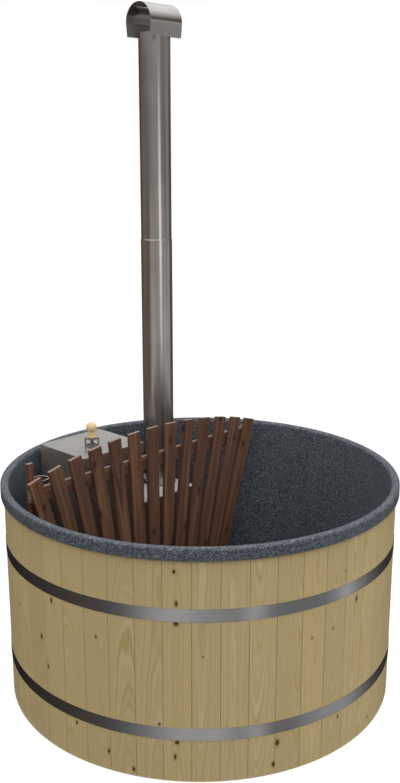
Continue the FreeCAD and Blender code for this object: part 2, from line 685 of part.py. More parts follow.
def fence_slats():
    """Slats that fan out upwards, square-ended, with a screw hole at each rail."""
    for slat in range(int(number("slat_count"))):
        angle = slat_angle(slat)
        top = f"(rim_height + slat_rise - slat_fall * {slat_place(slat)} ^ 2)"
        label = f"fence_slat_{slat + 1:02d}"
        body = new_body(label)
        board = new_sketch(body, "XZ_Plane", "board")
        rectangle(board, "-slat_width / 2", "-slat_length", "slat_width / 2", 0)
        for middle in RAIL_MIDDLES.values():
            circle(board, 0, f"({middle} - {top}) / cos({angle} * 1deg)", "screw_radius + screw_clearance")
        pad(body, board, "slat_thickness", reverse=True)
        length = number("slat_length")
        dress(body, "Chamfer", label + "_edges", "slat_chamfer",
              lambda edge: edge.BoundBox.ZLength > 0.9 * length)
        place(body, f"({top} - {FAN_CENTRE}) * tan({angle} * 1deg)", FENCE_FRONT, top,
              axis=(0, 1, 0), angle=angle)


def fence_rails():
    """Two rails across the backs of the slats, each a little past the posts."""
    for name, middle in RAIL_MIDDLES.items():
        low = f"({middle} - rail_height / 2)"
        left = post_middle("left", middle) + " - rail_end"
        right = post_middle("right", middle) + " + rail_end"
        rail = box("rail_" + name, (left, FENCE_BACK, low),
                   (right, RAIL_BACK, f"{low} + rail_height"))
        keep(rail, "fence_rail_" + name)


def fence_posts():
    """Two posts that stand on the tub's floor and carry the rails."""
    tall = "(rim_height + post_rise)"
    level_half = f"(post_width / 2 * sqrt(1 + {FAN_SLOPE} ^ 2))"
    for name, top, half in (("left", tall, "post_width / 2"), ("right", RAIL_TOP, level_half)):
        foot, head = post_middle(name, FLOOR_TOP), post_middle(name, top)
        label = "fence_post_" + name
        body = new_body(label)
        board = new_sketch(body, "XZ_Plane", "board")
        outline(board, [(f"{foot} - {half}", FLOOR_TOP), (f"{foot} + {half}", FLOOR_TOP),
                        (f"{head} + {half}", top), (f"{head} - {half}", top)])
        for middle in RAIL_MIDDLES.values():
            circle(board, post_middle(name, middle), middle, "screw_radius + screw_clearance")
        pad(body, board, "post_thickness", reverse=True)
        place(body, 0, RAIL_BACK)


def fence_screws():
    """A screw through each slat into each rail, and through each post from behind."""
    front = screw(number("screw_bite"), number("slat_thickness"))
    front.rotate(Vector(), Vector(1, 0, 0), 90)
    behind = screw(number("post_screw_bite"), number("post_thickness"))
    behind.rotate(Vector(), Vector(1, 0, 0), -90)
    back = number(POST_BACK)
    solids = []
    for middle in RAIL_MIDDLES.values():
        height = number(middle)
        for slat in range(int(number("slat_count"))):
            x = number(f"({middle} - {FAN_CENTRE}) * tan({slat_angle(slat)} * 1deg)")
            solid = front.copy()
            solid.translate(Vector(x, number(FENCE_FRONT), height))
            solids.append(solid)
        for name in ("left", "right"):
            solid = behind.copy()
            solid.translate(Vector(number(post_middle(name, middle)), back, height))
            solids.append(solid)
    feature("fence_screws", solids)


# ---------------------------------------------------------------- stove

def stove_plan(inset):
    """The stove's plan, set in by a wall thickness: a rectangle with its rear right corner cut off."""
    left, right = f"stove_left + {inset}", f"{STOVE_RIGHT} - {inset}"
    front, back = f"{STOVE_FRONT} + {inset}", f"{STOVE_BACK} - {inset}"
    short = f"(stove_corner - {inset} * (2 - sqrt(2)))"
    return [(left, front), (right, front), (right, f"{back} - {short}"),
            (f"{right} - {short}", back), (left, back)]


def stove_body():
    """A welded L-shaped vessel: a low firebox with a fuel chute that rises out of the water."""
    body = new_body("stove_body")
    firebox = new_sketch(body, "XY_Plane", "firebox")
    outline(firebox, stove_plan(0))
    pad(body, firebox, "firebox_top - stove_under")
    chute = new_sketch(body, "XY_Plane", "chute")
    rectangle(chute, "stove_left", STOVE_FRONT, CHUTE_RIGHT, STOVE_BACK)
    pad(body, chute, f"{CHUTE_TOP} - stove_under")
    hollow = new_sketch(body, "XY_Plane", "hollow")
    outline(hollow, stove_plan("stove_sheet"))
    hollow.setExpression("AttachmentOffset.Base.z", cells("stove_sheet"))
    pocket(body, hollow, "firebox_top - stove_under - 2 * stove_sheet", reverse=True)
    mouth = new_sketch(body, "XY_Plane", "mouth")
    rectangle(mouth, "stove_left + stove_sheet", f"{STOVE_FRONT} + stove_sheet",
              f"{CHUTE_RIGHT} - stove_sheet", f"{STOVE_BACK} - stove_sheet")
    mouth.setExpression("AttachmentOffset.Base.z", cells("stove_sheet"))
    pocket(body, mouth, CHUTE_TOP, reverse=True)
    smoke = new_sketch(body, "XY_Plane", "smoke")
    circle(smoke, FLUE_X, FLUE_Y, f"{UPPER_FLUE} - collar_wall")
    smoke.setExpression("AttachmentOffset.Base.z", cells("firebox_top - stove_under - 2 * stove_sheet"))
    pocket(body, smoke, "4 * stove_sheet", reverse=True)
    place(body, z="stove_under")


def stove_feet():
    """Four short legs on flanges that bolt to the tub's floor, so the empty stove can't float up."""
    side, plate = number("foot_width"), number("foot_sheet")
    flange, floor = number("foot_flange"), number(FLOOR_TOP)
    radius, bite = number("bolt_radius"), number("liner_wall - stove_sheet")
    leg = Part.makeBox(side, side, number("stove_under") - floor, Vector(-side / 2, -side / 2, 0))
    flange_corner = Vector(-side / 2 - flange, -side / 2, 0)
    foot = leg.fuse(Part.makeBox(side + 2 * flange, side, plate, flange_corner))
    bolt = hexagon(number("bolt_head_corner"), number("bolt_head_height"))
    bolt.translate(Vector(0, 0, plate))
    bolt = bolt.fuse(Part.makeCylinder(radius, plate + bite, Vector(0, 0, -bite)))
    bolt_offset = (side + flange) / 2
    hole = Part.makeCylinder(number("bolt_radius + bolt_clearance"), 2 * plate)
    for offset in (-bolt_offset, bolt_offset):
        foot = foot.cut(hole.translated(Vector(offset, 0, -plate / 2)))
    feet, bolts = [], []
    inset = number("foot_inset")
    for x in (number("stove_left") + inset, number(f"{STOVE_RIGHT} - stove_corner") - inset):
        for y in (number(STOVE_FRONT) + inset, number(STOVE_BACK) - inset):
            spot = Vector(x, y, floor)
            feet.append(foot.translated(spot))
            for offset in (-bolt_offset, bolt_offset):
                bolts.append(bolt.translated(spot + Vector(offset, 0, 0)))
    feature("stove_feet", feet)
    feature("stove_bolts", bolts)


def air_baffle():
    """A plate down the chute's left side: air falls behind it and comes out under the grate."""
    left = "(stove_left + baffle_offset)"
    low = f"({FIRE_FLOOR} + grate_height)"
    baffle = box("baffle_plate", (left, f"{STOVE_FRONT} + stove_sheet + fit_gap", low),
                 (f"{left} + stove_sheet", f"{STOVE_BACK} - stove_sheet - fit_gap",
                  f"{CHUTE_TOP} - baffle_drop"))
    keep(baffle, "air_baffle")


def fire_grate():
    """A slotted plate on two long walls, over the space where air comes in and ash falls."""
    body = new_body("fire_grate")
    left, right = "(stove_left + grate_margin)", f"({STOVE_RIGHT} - stove_corner - grate_margin)"
    front, back = f"({STOVE_FRONT} + grate_margin)", f"({STOVE_BACK} - grate_margin)"
    legs = new_sketch(body, "XY_Plane", "plate")
    rectangle(legs, left, front, right, back)
    pad(body, legs, "grate_height - fit_gap")
    under = new_sketch(body, "YZ_Plane", "under")
    rectangle(under, f"{front} + grate_bar", 0,
              f"{back} - grate_bar", "grate_height - fit_gap - grate_bar")
    pocket(body, under, "4 * stove_length").Midplane = True
    slot = new_sketch(body, "XY_Plane", "slot")
    pitch = f"(({right} - {left} - 4 * grate_bar) / grate_slots)"
    start = f"({left} + 2 * grate_bar + ({pitch} - grate_slot) / 2)"
    rectangle(slot, start, f"{front} + 2 * grate_bar", f"{start} + grate_slot", f"{back} - 2 * grate_bar")
    cutting = pocket(body, slot, "2 * grate_height", reverse=True)
    doc.recompute()
    row = body.newObject("PartDesign::LinearPattern", "grate_slot_row")
    row.Originals = [cutting]
    row.Direction = (slot, ["H_Axis"])
    row.setExpression("Length", cells(f"{pitch} * (grate_slots - 1)"))
    row.setExpression("Occurrences", cells("grate_slots"))
    body.Tip = row
    place(body, z=FIRE_FLOOR)


def stove_lid():
    """A plate over the chute's mouth, with a skirt that keeps it in place."""
    def block(name, inset, low, high):
        return box(name, (f"stove_left + {inset}", f"{STOVE_FRONT} + {inset}", low),
                   (f"{CHUTE_RIGHT} - {inset}", f"{STOVE_BACK} - {inset}", high))

    under = f"({LID_TOP} - lid_sheet)"
    gap = "(stove_sheet + lid_clearance)"
    plate = block("lid_plate", 0, under, LID_TOP)
    skirt = block("lid_skirt_out", gap, f"{under} - lid_skirt", under)
    hollow = block("lid_skirt_in", f"({gap} + stove_sheet)", f"{under} - 2 * lid_skirt", under)
    keep(cut("lid", fuse("lid_solid", plate, skirt), hollow), "stove_lid")


def lid_handle_frame():
    """A square sheet cage with a window in each side, which keeps the knob off the hot lid."""
    half, window = "(cage_side / 2)", "(cage_window / 2)"
    middle = "(cage_height / 2)"
    body = new_body("lid_handle_frame")
    plan = new_sketch(body, "XY_Plane", "plan")
    rectangle(plan, f"-{half}", f"-{half}", half, half)
    pad(body, plan, "cage_height")
    hollow = new_sketch(body, "XY_Plane", "hollow")
    inner = f"({half} - cage_sheet)"
    rectangle(hollow, f"-{inner}", f"-{inner}", inner, inner)
    pocket(body, hollow, "cage_height - cage_sheet", reverse=True)
    for role in ("XZ_Plane", "YZ_Plane"):
        windows = new_sketch(body, role, "windows_" + role[:2].lower())
        rectangle(windows, f"-{window}", f"{middle} - cage_window_height / 2",
                  window, f"{middle} + cage_window_height / 2")
        step = pocket(body, windows, "2 * cage_side")
        step.Midplane = True
    top = new_sketch(body, "XY_Plane", "stud_hole")
    circle(top, 0, 0, "stud_radius + bolt_clearance")
    pocket(body, top, "2 * cage_height", reverse=True)
    place(body, KNOB_X, KNOB_Y, LID_TOP)


def lid_knob():
    """A turned wooden knob: ball, neck and a bead at its foot, bored for its screw."""
    at = {"x": KNOB_X, "y": KNOB_Y}
    ball = primitive("Sphere", "knob_ball_solid", Radius="knob_ball")
    place(ball, z=f"{CAGE_TOP} + knob_rise", **at)
    neck = rod("knob_neck_solid", "knob_neck", "knob_rise", z=CAGE_TOP, **at)
    foot = rod("knob_foot_solid", "knob_base - knob_bead", "2 * knob_bead", z=CAGE_TOP, **at)
    bead = primitive("Torus", "knob_bead_solid", Radius1="knob_base - knob_bead", Radius2="knob_bead")
    place(bead, z=f"{CAGE_TOP} + knob_bead", **at)
    bore = rod("knob_bore", "stud_radius + fit_gap", "stud_length + fit_gap", z=CAGE_TOP, **at)
    keep(cut("knob", fuse("knob_solid", ball, neck, foot, bead), bore), "lid_knob")


def knob_screw():
    """The screw that holds the knob from inside the cage."""
    head = number("bolt_head_height")
    low = number(f"{CAGE_TOP} - cage_sheet")
    bolt_head = hexagon(number("bolt_head_corner"), head)
    bolt_head.translate(Vector(0, 0, low - head))
    length = number("stud_length + cage_sheet")
    shank = Part.makeCylinder(number("stud_radius"), length, Vector(0, 0, low))
    solid = bolt_head.fuse(shank)
    solid.translate(Vector(number(KNOB_X), number(KNOB_Y), 0))
    feature("knob_screw", [solid])


# ---------------------------------------------------------------- flue

def flue():
    """A flanged collar and two pipes, each on a stop bead and slipped over or into the next."""
    at = {"x": FLUE_X, "y": FLUE_Y}
    inner = f"({UPPER_FLUE} - collar_wall)"
    bead = f"({UPPER_FLUE} + bead_reach)"
    bead_low = f"({FLUE_START} - bead_height)"
    turned("flue_collar", [
        (inner, "firebox_top"), ("collar_flange", "firebox_top"),
        ("collar_flange", "firebox_top + collar_wall"),
        (UPPER_FLUE, "firebox_top + 2 * collar_wall"), (UPPER_FLUE, bead_low),
        (bead, f"{bead_low} + bead_height / 4"), (bead, FLUE_START),
        (UPPER_FLUE, FLUE_START), (UPPER_FLUE, f"{FLUE_START} + flue_overlap"),
        (inner, f"{FLUE_START} + flue_overlap")], **at)
    lower_pipe = ring_corners("flue_radius - flue_wall", "flue_radius", FLUE_START, FLUE_JOINT)
    turned("flue_lower", lower_pipe, **at)
    thin = f"({UPPER_FLUE} - flue_wall)"
    rest = "(flue_radius - flue_wall / 3)"
    foot = f"{FLUE_JOINT} - flue_overlap"
    turned("flue_upper", [
        (thin, foot), (UPPER_FLUE, foot), (UPPER_FLUE, FLUE_JOINT), (rest, FLUE_JOINT),
        (rest, f"{FLUE_JOINT} + bead_height / 4"), (UPPER_FLUE, f"{FLUE_JOINT} + bead_height / 2"),
        (UPPER_FLUE, FLUE_TOP), (thin, FLUE_TOP)], **at)


def hood_lean():
    """The angle that the hood's sides lean in from upright, and their foot's distance from the axis."""
    foot = number(f"{UPPER_FLUE} + fit_gap + hood_sheet")
    return math.atan2(number("hood_radius") - foot, number("hood_rise + hood_grip")), foot


def rain_hood():
    """A sheet arch over the pipe, open at both ends, its lower edges turned in as hems."""
    radius, centre, under = number("hood_radius"), number(HOOD_CENTRE), number(HOOD_UNDER)
    hem, sheet_thick, length = number("hood_hem"), number("hood_sheet"), number("hood_length")
    lean, foot = hood_lean()
    edges, shoulders = [], []
    for side in (-1, 1):
        shoulder = Vector(0, side * radius * math.cos(lean), centre - radius * math.sin(lean))
        corner = Vector(0, side * foot, under)
        edges.append(Part.makeLine(Vector(0, side * (foot - hem), under), corner))
        edges.append(Part.makeLine(corner, shoulder))
        shoulders.append(shoulder)
    edges.append(Part.Arc(shoulders[0], Vector(0, 0, centre + radius), shoulders[1]).toShape())
    path = Part.Wire(Part.__sortEdges__(edges))
    section = path.makeOffset2D(sheet_thick, join=2, fill=True, openResult=True)
    hood = section.extrude(Vector(length, 0, 0))
    hood.translate(Vector(-length / 2, 0, 0))
    low, between = under - sheet_thick, foot - sheet_thick
    notch = Part.makeCylinder(number(f"{UPPER_FLUE} + hood_notch"), 3 * sheet_thick, Vector(0, 0, low))
    hems = Part.makeBox(length, 2 * between, 3 * sheet_thick, Vector(-length / 2, -between, low))
    hood = hood.cut(notch.common(hems))
    hood.translate(Vector(number(FLUE_X), number(FLUE_Y), 0))
    feature("rain_hood", hood.Solids)


def hood_rivets():
    """Two rivets that hold the hood's sides on the pipe."""
    lean, foot = hood_lean()
    rise = number("rivet_rise")
    start = number(f"{UPPER_FLUE} - flue_wall")
    outside = foot + rise * math.tan(lean)
    outwards = Vector(0, 1, 0)
    shank = Part.makeCylinder(number("rivet_shank"), outside - start, Vector(0, start, 0), outwards)
    head = Part.makeCone(number("rivet_radius"), number("rivet_shank"), number("rivet_height"),
                         Vector(0, outside, 0), outwards)
    rivet = shank.fuse(head)
    centre = Vector(number(FLUE_X), number(FLUE_Y), number(HOOD_UNDER) + rise)
    feature("hood_rivets", [turned_about_z(rivet, turn).translated(centre) for turn in (0, TURN / 2)])


# ---------------------------------------------------------------- drain

def standpipe():
    """A plain pipe that plugs the drain and carries off what rises over its top."""
    at = {"x": DRAIN_X, "y": DRAIN_Y}
    inner, low = "(standpipe_radius - standpipe_wall)", f"{LEDGE_TOP} + fit_gap"
    high = "rim_height - water_drop"
    turned("standpipe", ring_corners(inner, "standpipe_radius", low, high), **at)


def drain_fitting():
    """The cup under the floor, its washer and lock nut, and the pipe that leads out."""
    at = {"x": DRAIN_X, "y": DRAIN_Y}
    flange_low = f"({FLOOR_TOP} + gasket_thick)"
    flange_high = f"({flange_low} + cup_flange_thick)"
    bore_radius, bore_length = "outlet_radius - outlet_wall", f"{OUTLET_END} - {DRAIN_X}"
    ledge = f"({SEAT_RADIUS} - ledge_width)"
    ledge_low = f"({LEDGE_TOP} - cup_wall)"
    cup_inner = f"({CUP_OUTER} - cup_wall)"
    turned("drain_cup_round", [
        (0, "cup_bottom"), (CUP_OUTER, "cup_bottom"), (CUP_OUTER, flange_low), ("cup_flange", flange_low),
        ("cup_flange", flange_high), (SEAT_RADIUS, flange_high),
        (SEAT_RADIUS, LEDGE_TOP), (ledge, LEDGE_TOP), (ledge, ledge_low), (cup_inner, ledge_low),
        (cup_inner, "cup_bottom + cup_wall"), (0, "cup_bottom + cup_wall")], **at)
    cup = parts.pop()
    side_hole = primitive("Cylinder", "drain_side_hole", Radius=bore_radius, Height="2 * cup_flange")
    place(side_hole, DRAIN_X, DRAIN_Y, "outlet_height", axis=(0, 1, 0), angle=90)
    keep(cut("drain_cup_cut", cup, side_hole), "drain_cup")
    washer = ring_corners(f"{CUP_OUTER} + fit_gap", "cup_flange", FLOOR_TOP, flange_low)
    turned("drain_washer", washer, **at)
    nut_low = "joist_height - nut_height"
    nut = ring_corners(f"{CUP_OUTER} + thread_gap", "cup_flange", nut_low, "joist_height")
    turned("drain_lock_nut", nut, **at)
    pipe = primitive("Cylinder", "drain_pipe_out", Radius="outlet_radius", Height=bore_length)
    bore = primitive("Cylinder", "drain_pipe_in", Radius=bore_radius, Height=bore_length)
    for tube in (pipe, bore):
        place(tube, DRAIN_X, DRAIN_Y, "outlet_height", axis=(0, 1, 0), angle=90)
    end = rod("drain_pipe_saddle", CUP_OUTER, "2 * joist_height", z="-joist_height / 2", **at)
    keep(cut("drain_pipe_cut", pipe, bore, end), "drain_pipe")
    drain_outlet()


def drain_outlet():
    """A socket on the drain pipe's end with a spigot that a hose or valve is pushed onto."""
    wall, bore = "outlet_wall", "(spigot_radius - outlet_wall)"
    socket = "(outlet_radius + thread_gap)"
    body = turned("drain_outlet", [
        (socket, "-socket_depth"), (f"{socket} + {wall}", "-socket_depth"), (f"{socket} + {wall}", wall),
        ("spigot_radius", wall), ("spigot_radius", f"{wall} + spigot_length"),
        (bore, f"{wall} + spigot_length"), (bore, 0), (socket, 0)])
    place(body, OUTLET_END, DRAIN_Y, "outlet_height", axis=(0, 1, 0), angle=90)


def build():
    staves()
    hoop("hoop_lower", "hoop_low")
    hoop("hoop_upper", HOOP_HIGH)
    hoop_bolts()
    liner()
    base_joists()
    bench_seats()
    bench_frame()
    bench_screws()
    fence_slats()
    fence_rails()
    fence_posts()
    fence_screws()
    stove_body()
    stove_feet()
    air_baffle()
    fire_grate()
    stove_lid()
    lid_handle_frame()
    lid_knob()
    knob_screw()
    flue()
    rain_hood()
    hood_rivets()
    standpipe()
    drain_fitting()
    doc.recompute()


def check():
    """Stop with a plain message if an object failed or a shape is empty or broken."""
    for item in doc.Objects:
        if "Invalid" in item.State or "Error" in item.State:
            raise RuntimeError(f"{item.Name} failed: {item.State}")
    for piece in parts:
        if piece.Shape.isNull() or not piece.Shape.isValid() or not piece.Shape.Solids:
            raise RuntimeError(f"{piece.Label} has no valid shape")


def export():
    os.makedirs("parts", exist_ok=True)
    for piece in parts:
        piece.Shape.exportStep(os.path.join("parts", piece.Label + ".step"))
        volume = piece.Shape.Volume / 1000
        print(f"{piece.Label}: {len(piece.Shape.Solids)} solids, {volume:.1f} cm3")


build()
check()
export()
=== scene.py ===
import math

import bpy
import numpy as np
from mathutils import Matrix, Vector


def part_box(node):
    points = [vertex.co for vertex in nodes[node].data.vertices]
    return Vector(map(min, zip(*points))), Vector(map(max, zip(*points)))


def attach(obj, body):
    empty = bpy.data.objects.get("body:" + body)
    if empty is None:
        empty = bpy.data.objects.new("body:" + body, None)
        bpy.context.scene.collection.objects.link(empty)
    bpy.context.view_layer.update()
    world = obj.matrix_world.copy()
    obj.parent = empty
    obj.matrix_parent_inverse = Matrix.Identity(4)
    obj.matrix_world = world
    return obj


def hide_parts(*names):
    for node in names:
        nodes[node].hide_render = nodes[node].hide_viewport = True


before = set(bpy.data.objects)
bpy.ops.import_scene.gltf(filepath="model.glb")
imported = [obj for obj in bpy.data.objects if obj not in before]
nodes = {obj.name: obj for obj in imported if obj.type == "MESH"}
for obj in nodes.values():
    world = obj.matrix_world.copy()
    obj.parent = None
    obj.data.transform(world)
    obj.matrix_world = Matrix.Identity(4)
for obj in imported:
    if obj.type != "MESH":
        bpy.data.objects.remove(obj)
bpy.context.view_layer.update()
scene = bpy.context.scene
scene.view_settings.view_transform = "Standard"


# ---------------------------------------------------------------- shader helpers
# Each material is a tree of shader nodes. These functions add nodes to a tree and hand back the
# sockets that the next ones are fed from.


def feed(tree, node, inputs):
    """Link or set a node's sockets, each given by its name or its number."""
    for socket, value in inputs.items():
        if isinstance(value, bpy.types.NodeSocket):
            tree.links.new(value, node.inputs[socket])
        else:
            node.inputs[socket].default_value = value


def add(tree, kind, inputs=None, **settings):
    """A new shader node of one kind, with its settings made and its sockets fed."""
    node = tree.nodes.new("ShaderNode" + kind)
    for name, value in settings.items():
        setattr(node, name, value)
    feed(tree, node, inputs or {})
    return node


def calc(tree, operation, *values):
    """One step of arithmetic on numbers."""
    return add(tree, "Math", dict(enumerate(values)), operation=operation).outputs[0]


def vector(tree, operation, *values):
    """One step of arithmetic on vectors. A length or a dot product is a number."""
    made = add(tree, "VectorMath", dict(enumerate(values)), operation=operation).outputs
    return made["Value" if operation in ("LENGTH", "DOT_PRODUCT") else "Vector"]


def numbers_of(tree, value):
    """A vector's three numbers, as sockets named X, Y and Z."""
    return add(tree, "SeparateXYZ", {0: value}).outputs


def ranged(tree, value, low, high, first=0.0, last=1.0, **settings):
    """A number carried from one range to another and kept within it."""
    limits = {"From Min": low, "From Max": high, "To Min": first, "To Max": last}
    return add(tree, "MapRange", {"Value": value, **limits}, **settings).outputs["Result"]


def noise(tree, place, scale=1.0, detail=2.0):
    """A soft random pattern from 0 to 1."""
    return add(tree, "TexNoise", {"Vector": place, "Scale": scale, "Detail": detail}).outputs["Fac"]


def own_place(tree):
    """Where a spot lies in the tub's own frame, in metres."""
    return add(tree, "TexCoord").outputs["Object"]


def mixed(tree, share, first, second, blend="MIX"):
    """Two colours mixed by a share."""
    node = add(tree, "Mix", data_type="RGBA", blend_type=blend)
    feed(tree, node, {0: share, 6: first, 7: second})
    return node.outputs[2]


def colours(tree, mask, stops):
    """A colour ramp: each stop is a place from 0 to 1 and its colour."""
    ramp = add(tree, "ValToRGB", {0: mask})
    elements = ramp.color_ramp.elements
    while len(elements) < len(stops):
        elements.new(0.5)
    for element, (spot, colour) in zip(elements, stops):
        element.position = spot
        element.color = (*colour, 1)
    return ramp.outputs[0]


def shade(tree, colour, roughness, relief, others=None):
    """A surface led to the material's output. Its relief is a strength, a depth in metres and a
    height from 0 to 1; the others are further sockets of the surface."""
    strength, depth, height = relief
    bump = add(tree, "Bump", {"Strength": strength, "Distance": depth, "Height": height}).outputs[0]
    inputs = {"Base Color": colour, "Roughness": roughness, "Normal": bump, **(others or {})}
    surface = add(tree, "BsdfPrincipled", inputs)
    add(tree, "OutputMaterial", {"Surface": surface.outputs[0]})


def new_material(name):
    """A material without any nodes, and its node tree."""
    material = bpy.data.materials.new(name)
    material.use_nodes = True
    material.node_tree.nodes.clear()
    return material, material.node_tree


def new_group(name, given, made):
    """A shader node group: its tree, the sockets that it is given and those that it fills. Both
    are asked for by name and kind."""
    group = bpy.data.node_groups.new(name, "ShaderNodeTree")
    for in_out, sockets in (("INPUT", given), ("OUTPUT", made)):
        for socket, kind in sockets.items():
            group.interface.new_socket(socket, in_out=in_out, socket_type="NodeSocket" + kind)
    given_end = group.nodes.new("NodeGroupInput")
    made_end = group.nodes.new("NodeGroupOutput")
    return group, given_end.outputs, made_end


def use_group(tree, group, inputs):
    """A node group placed in a tree, with its sockets fed."""
    node = tree.nodes.new("ShaderNodeGroup")
    node.node_tree = group
    feed(tree, node, inputs)
    return node.outputs


def clothe(material, *names):
    """Give the solids of these nodes a material."""
    for name in names:
        nodes[name].material_slots[0].material = material


def new_piece(name, points, faces, material):
    """A mesh of one material, put in the scene as an object."""
    mesh = bpy.data.meshes.new(name)
    mesh.from_pydata(points, [], faces)
    mesh.materials.append(material)
    piece = bpy.data.objects.new(name, mesh)
    scene.collection.objects.link(piece)
    return piece


def give(piece, name, kind, key, values):
    """An attribute of a piece, with a value at each of its points."""
    made = piece.data.attributes.new(name, kind, "POINT")
    made.data.foreach_set(key, values.astype(np.float32).ravel())


# ---------------------------------------------------------------- camera and sky
# A long lens looks down on the tub from the bathers' left. A white sweep lies all round it and
# a plain sky lights it.

EYE_PLACE = (-2.978, -2.906, 2.419)
EYE_TURN = 45.7
EYE_DIP = 14.13
SENSOR_HEIGHT = 36
LENS = 43.66

eye = bpy.data.cameras.new("eye")
eye.sensor_fit = "VERTICAL"
eye.sensor_height = SENSOR_HEIGHT
eye.lens = LENS
camera = bpy.data.objects.new("eye", eye)
camera.location = EYE_PLACE
camera.rotation_euler = (math.radians(90 - EYE_DIP), 0, math.radians(-EYE_TURN))
scene.collection.objects.link(camera)
scene.camera = camera


def seen_directly(tree):
    """A mask that is 1 for the eye and in reflections, and 0 for light that is scattered."""
    path = add(tree, "LightPath").outputs
    either = calc(tree, "MAXIMUM", path["Is Camera Ray"], path["Is Glossy Ray"])
    return calc(tree, "MAXIMUM", either, path["Is Transmission Ray"])


WHITE = (1, 1, 1, 1)
PALE = np.array([1.0, 0.985, 0.965])
# The sky grows brighter between two rises, which are sines of an angle over the horizon, and
# towards the right.
LOW_RISE, HIGH_RISE = 0.08, 0.5
SKY_AT_HORIZON = 0.35
SKY_OVERHEAD = 2.75
SKY_TO_RIGHT = 0.28
TO_RIGHT = (0.70, -0.71, 0.0)

world = bpy.data.worlds.new("white studio")
scene.world = world
world.use_nodes = True
sky = world.node_tree
sky.nodes.clear()
towards = add(sky, "TexCoord").outputs["Generated"]
overhead = ranged(sky, numbers_of(sky, towards)["Z"], LOW_RISE, HIGH_RISE, SKY_AT_HORIZON, SKY_OVERHEAD)
rightwards = vector(sky, "DOT_PRODUCT", towards, TO_RIGHT)
strength = calc(sky, "MULTIPLY_ADD", rightwards, SKY_TO_RIGHT, overhead)
light = add(sky, "Background", {"Color": (*PALE, 1), "Strength": strength})
white = add(sky, "Background", {"Color": WHITE, "Strength": 1.0})
both = add(sky, "MixShader", {0: seen_directly(sky), 1: light.outputs[0], 2: white.outputs[0]})
add(sky, "OutputWorld", {"Surface": both.outputs[0]})

SWEEP_REACH = 40
SWEEP_GREY = (0.09, 0.09, 0.09, 1)
SWEEP_GLOW = 0.88

sweep_paint, tree = new_material("white sweep")
matt = add(tree, "BsdfDiffuse", {"Color": SWEEP_GREY})
shine = add(tree, "Emission", {"Color": WHITE, "Strength": SWEEP_GLOW})
lifted = add(tree, "AddShader", {0: shine.outputs[0], 1: matt.outputs[0]})
shown = add(tree, "MixShader", {0: seen_directly(tree), 1: matt.outputs[0], 2: lifted.outputs[0]})
add(tree, "OutputMaterial", {"Surface": shown.outputs[0]})
corners = [(x * SWEEP_REACH, y * SWEEP_REACH, 0) for x, y in ((-1, -1), (1, -1), (1, 1), (-1, 1))]
sheet = new_piece("sweep", corners, [(0, 1, 2, 3)], sweep_paint)


# ---------------------------------------------------------------- cards
# What metal and gloss reflect, and nothing else sees: a ring of graded cards, and more that lie
# on the sweep. Brown screens stand at both sides and a strip light to the right. Turns are in
# degrees to the right of the eye, and tones are those of the light that a card gives.

LOOK = 90 - EYE_TURN
CARD_REACH = 4.5
CARD_LIFT = 0.003
HOOP_RADIUS = 0.893
BROWN = np.array([1.0, 0.80, 0.67])
BROWN_BY_TURN = {-160: 0.1, -146: 1.0, -62: 1.0, -48: 0.15, 100: 0.1, 130: 0.5, 160: 0.1}
RIGHT_PART = {20: 0, 50: 1, 140: 1, 160: 0}
STRIP_TURN = 33
STRIP_HALF = 6.0
STRIP_TONE = 0.85
WALL_LOW = {-180: 0.54, -155: 0.44, -143: 0.15, -116: 0.18, -97: 0.16, -74: 0.14, -64: 0.17,
            -54: 0.40, -42: 0.58, -28: 0.57, -17: 0.53, -5: 0.45, 5: 0.45, 17: 0.42, 28: 0.44,
            40: 0.52, 52: 0.52, 68: 0.62, 84: 0.47, 116: 0.47, 124: 0.16, 130: 0.07, 143: 0.08,
            160: 0.44, 180: 0.54}
WALL_MIDDLE = {-180: 0.54, -155: 0.44, -143: 0.15, -116: 0.18, -97: 0.15, -74: 0.135, -64: 0.16,
               -54: 0.34, -42: 0.46, -28: 0.42, -5: 0.37, 5: 0.40, 40: 0.42, 53: 0.38, 70: 0.52,
               84: 0.43, 116: 0.46, 124: 0.16, 130: 0.08, 143: 0.08, 160: 0.44, 180: 0.54}
WALL_TOP = {-180: 0.54, -158: 0.46, -143: 0.08, -116: 0.205, -97: 0.185, -81: 0.155, -64: 0.11,
            -53: 0.16, -40: 0.24, -5: 0.25, 5: 0.285, 40: 0.35, 60: 0.19, 75: 0.125, 88: 0.155,
            98: 0.28, 112: 0.34, 120: 0.29, 130: 0.10, 143: 0.08, 158: 0.46, 180: 0.54}


def over_the_hood(tone, elsewhere):
    """Tones of a card high up, where its right part, which the hood's arch mirrors, has its own."""
    rear = 0.6 * elsewhere
    return {-180: rear, -165: rear, -145: elsewhere, 20: elsewhere, 50: tone, 140: tone,
            160: rear, 180: rear}


# The upright cards' bands: their height, how much of the strip light shows, how brown the card is
# at the left and at the right, and its tones.
CARD_BANDS = [(0.0, 0.0, 1, 0, WALL_LOW), (0.6, 0.2, 1, 0, WALL_LOW), (0.9, 0.85, 1, 0, WALL_MIDDLE),
              (1.35, 1.0, 1, 0, WALL_MIDDLE), (1.65, 1.2, 1, 0, WALL_TOP), (2.4, 1.15, 1, 0, WALL_TOP),
              (2.75, 0.1, 1, 0.3, WALL_TOP), (3.0, 0.0, 1, 0.3, WALL_TOP),
              (3.2, 0, 1, 0, over_the_hood(0.36, 0.14)), (3.5, 0, 1, 0.2, over_the_hood(0.38, 0.16)),
              (3.68, 0, 1, 1, over_the_hood(0.10, 0.22)), (4.4, 0, 0.6, 1, over_the_hood(0.072, 0.5)),
              (5.1, 0, 0, 0.8, over_the_hood(0.23, 1.2)), (6.2, 0, 0, 0.2, over_the_hood(0.54, 1.6)),
              (8.0, 0, 0, 0, over_the_hood(1.0, 1.6))]
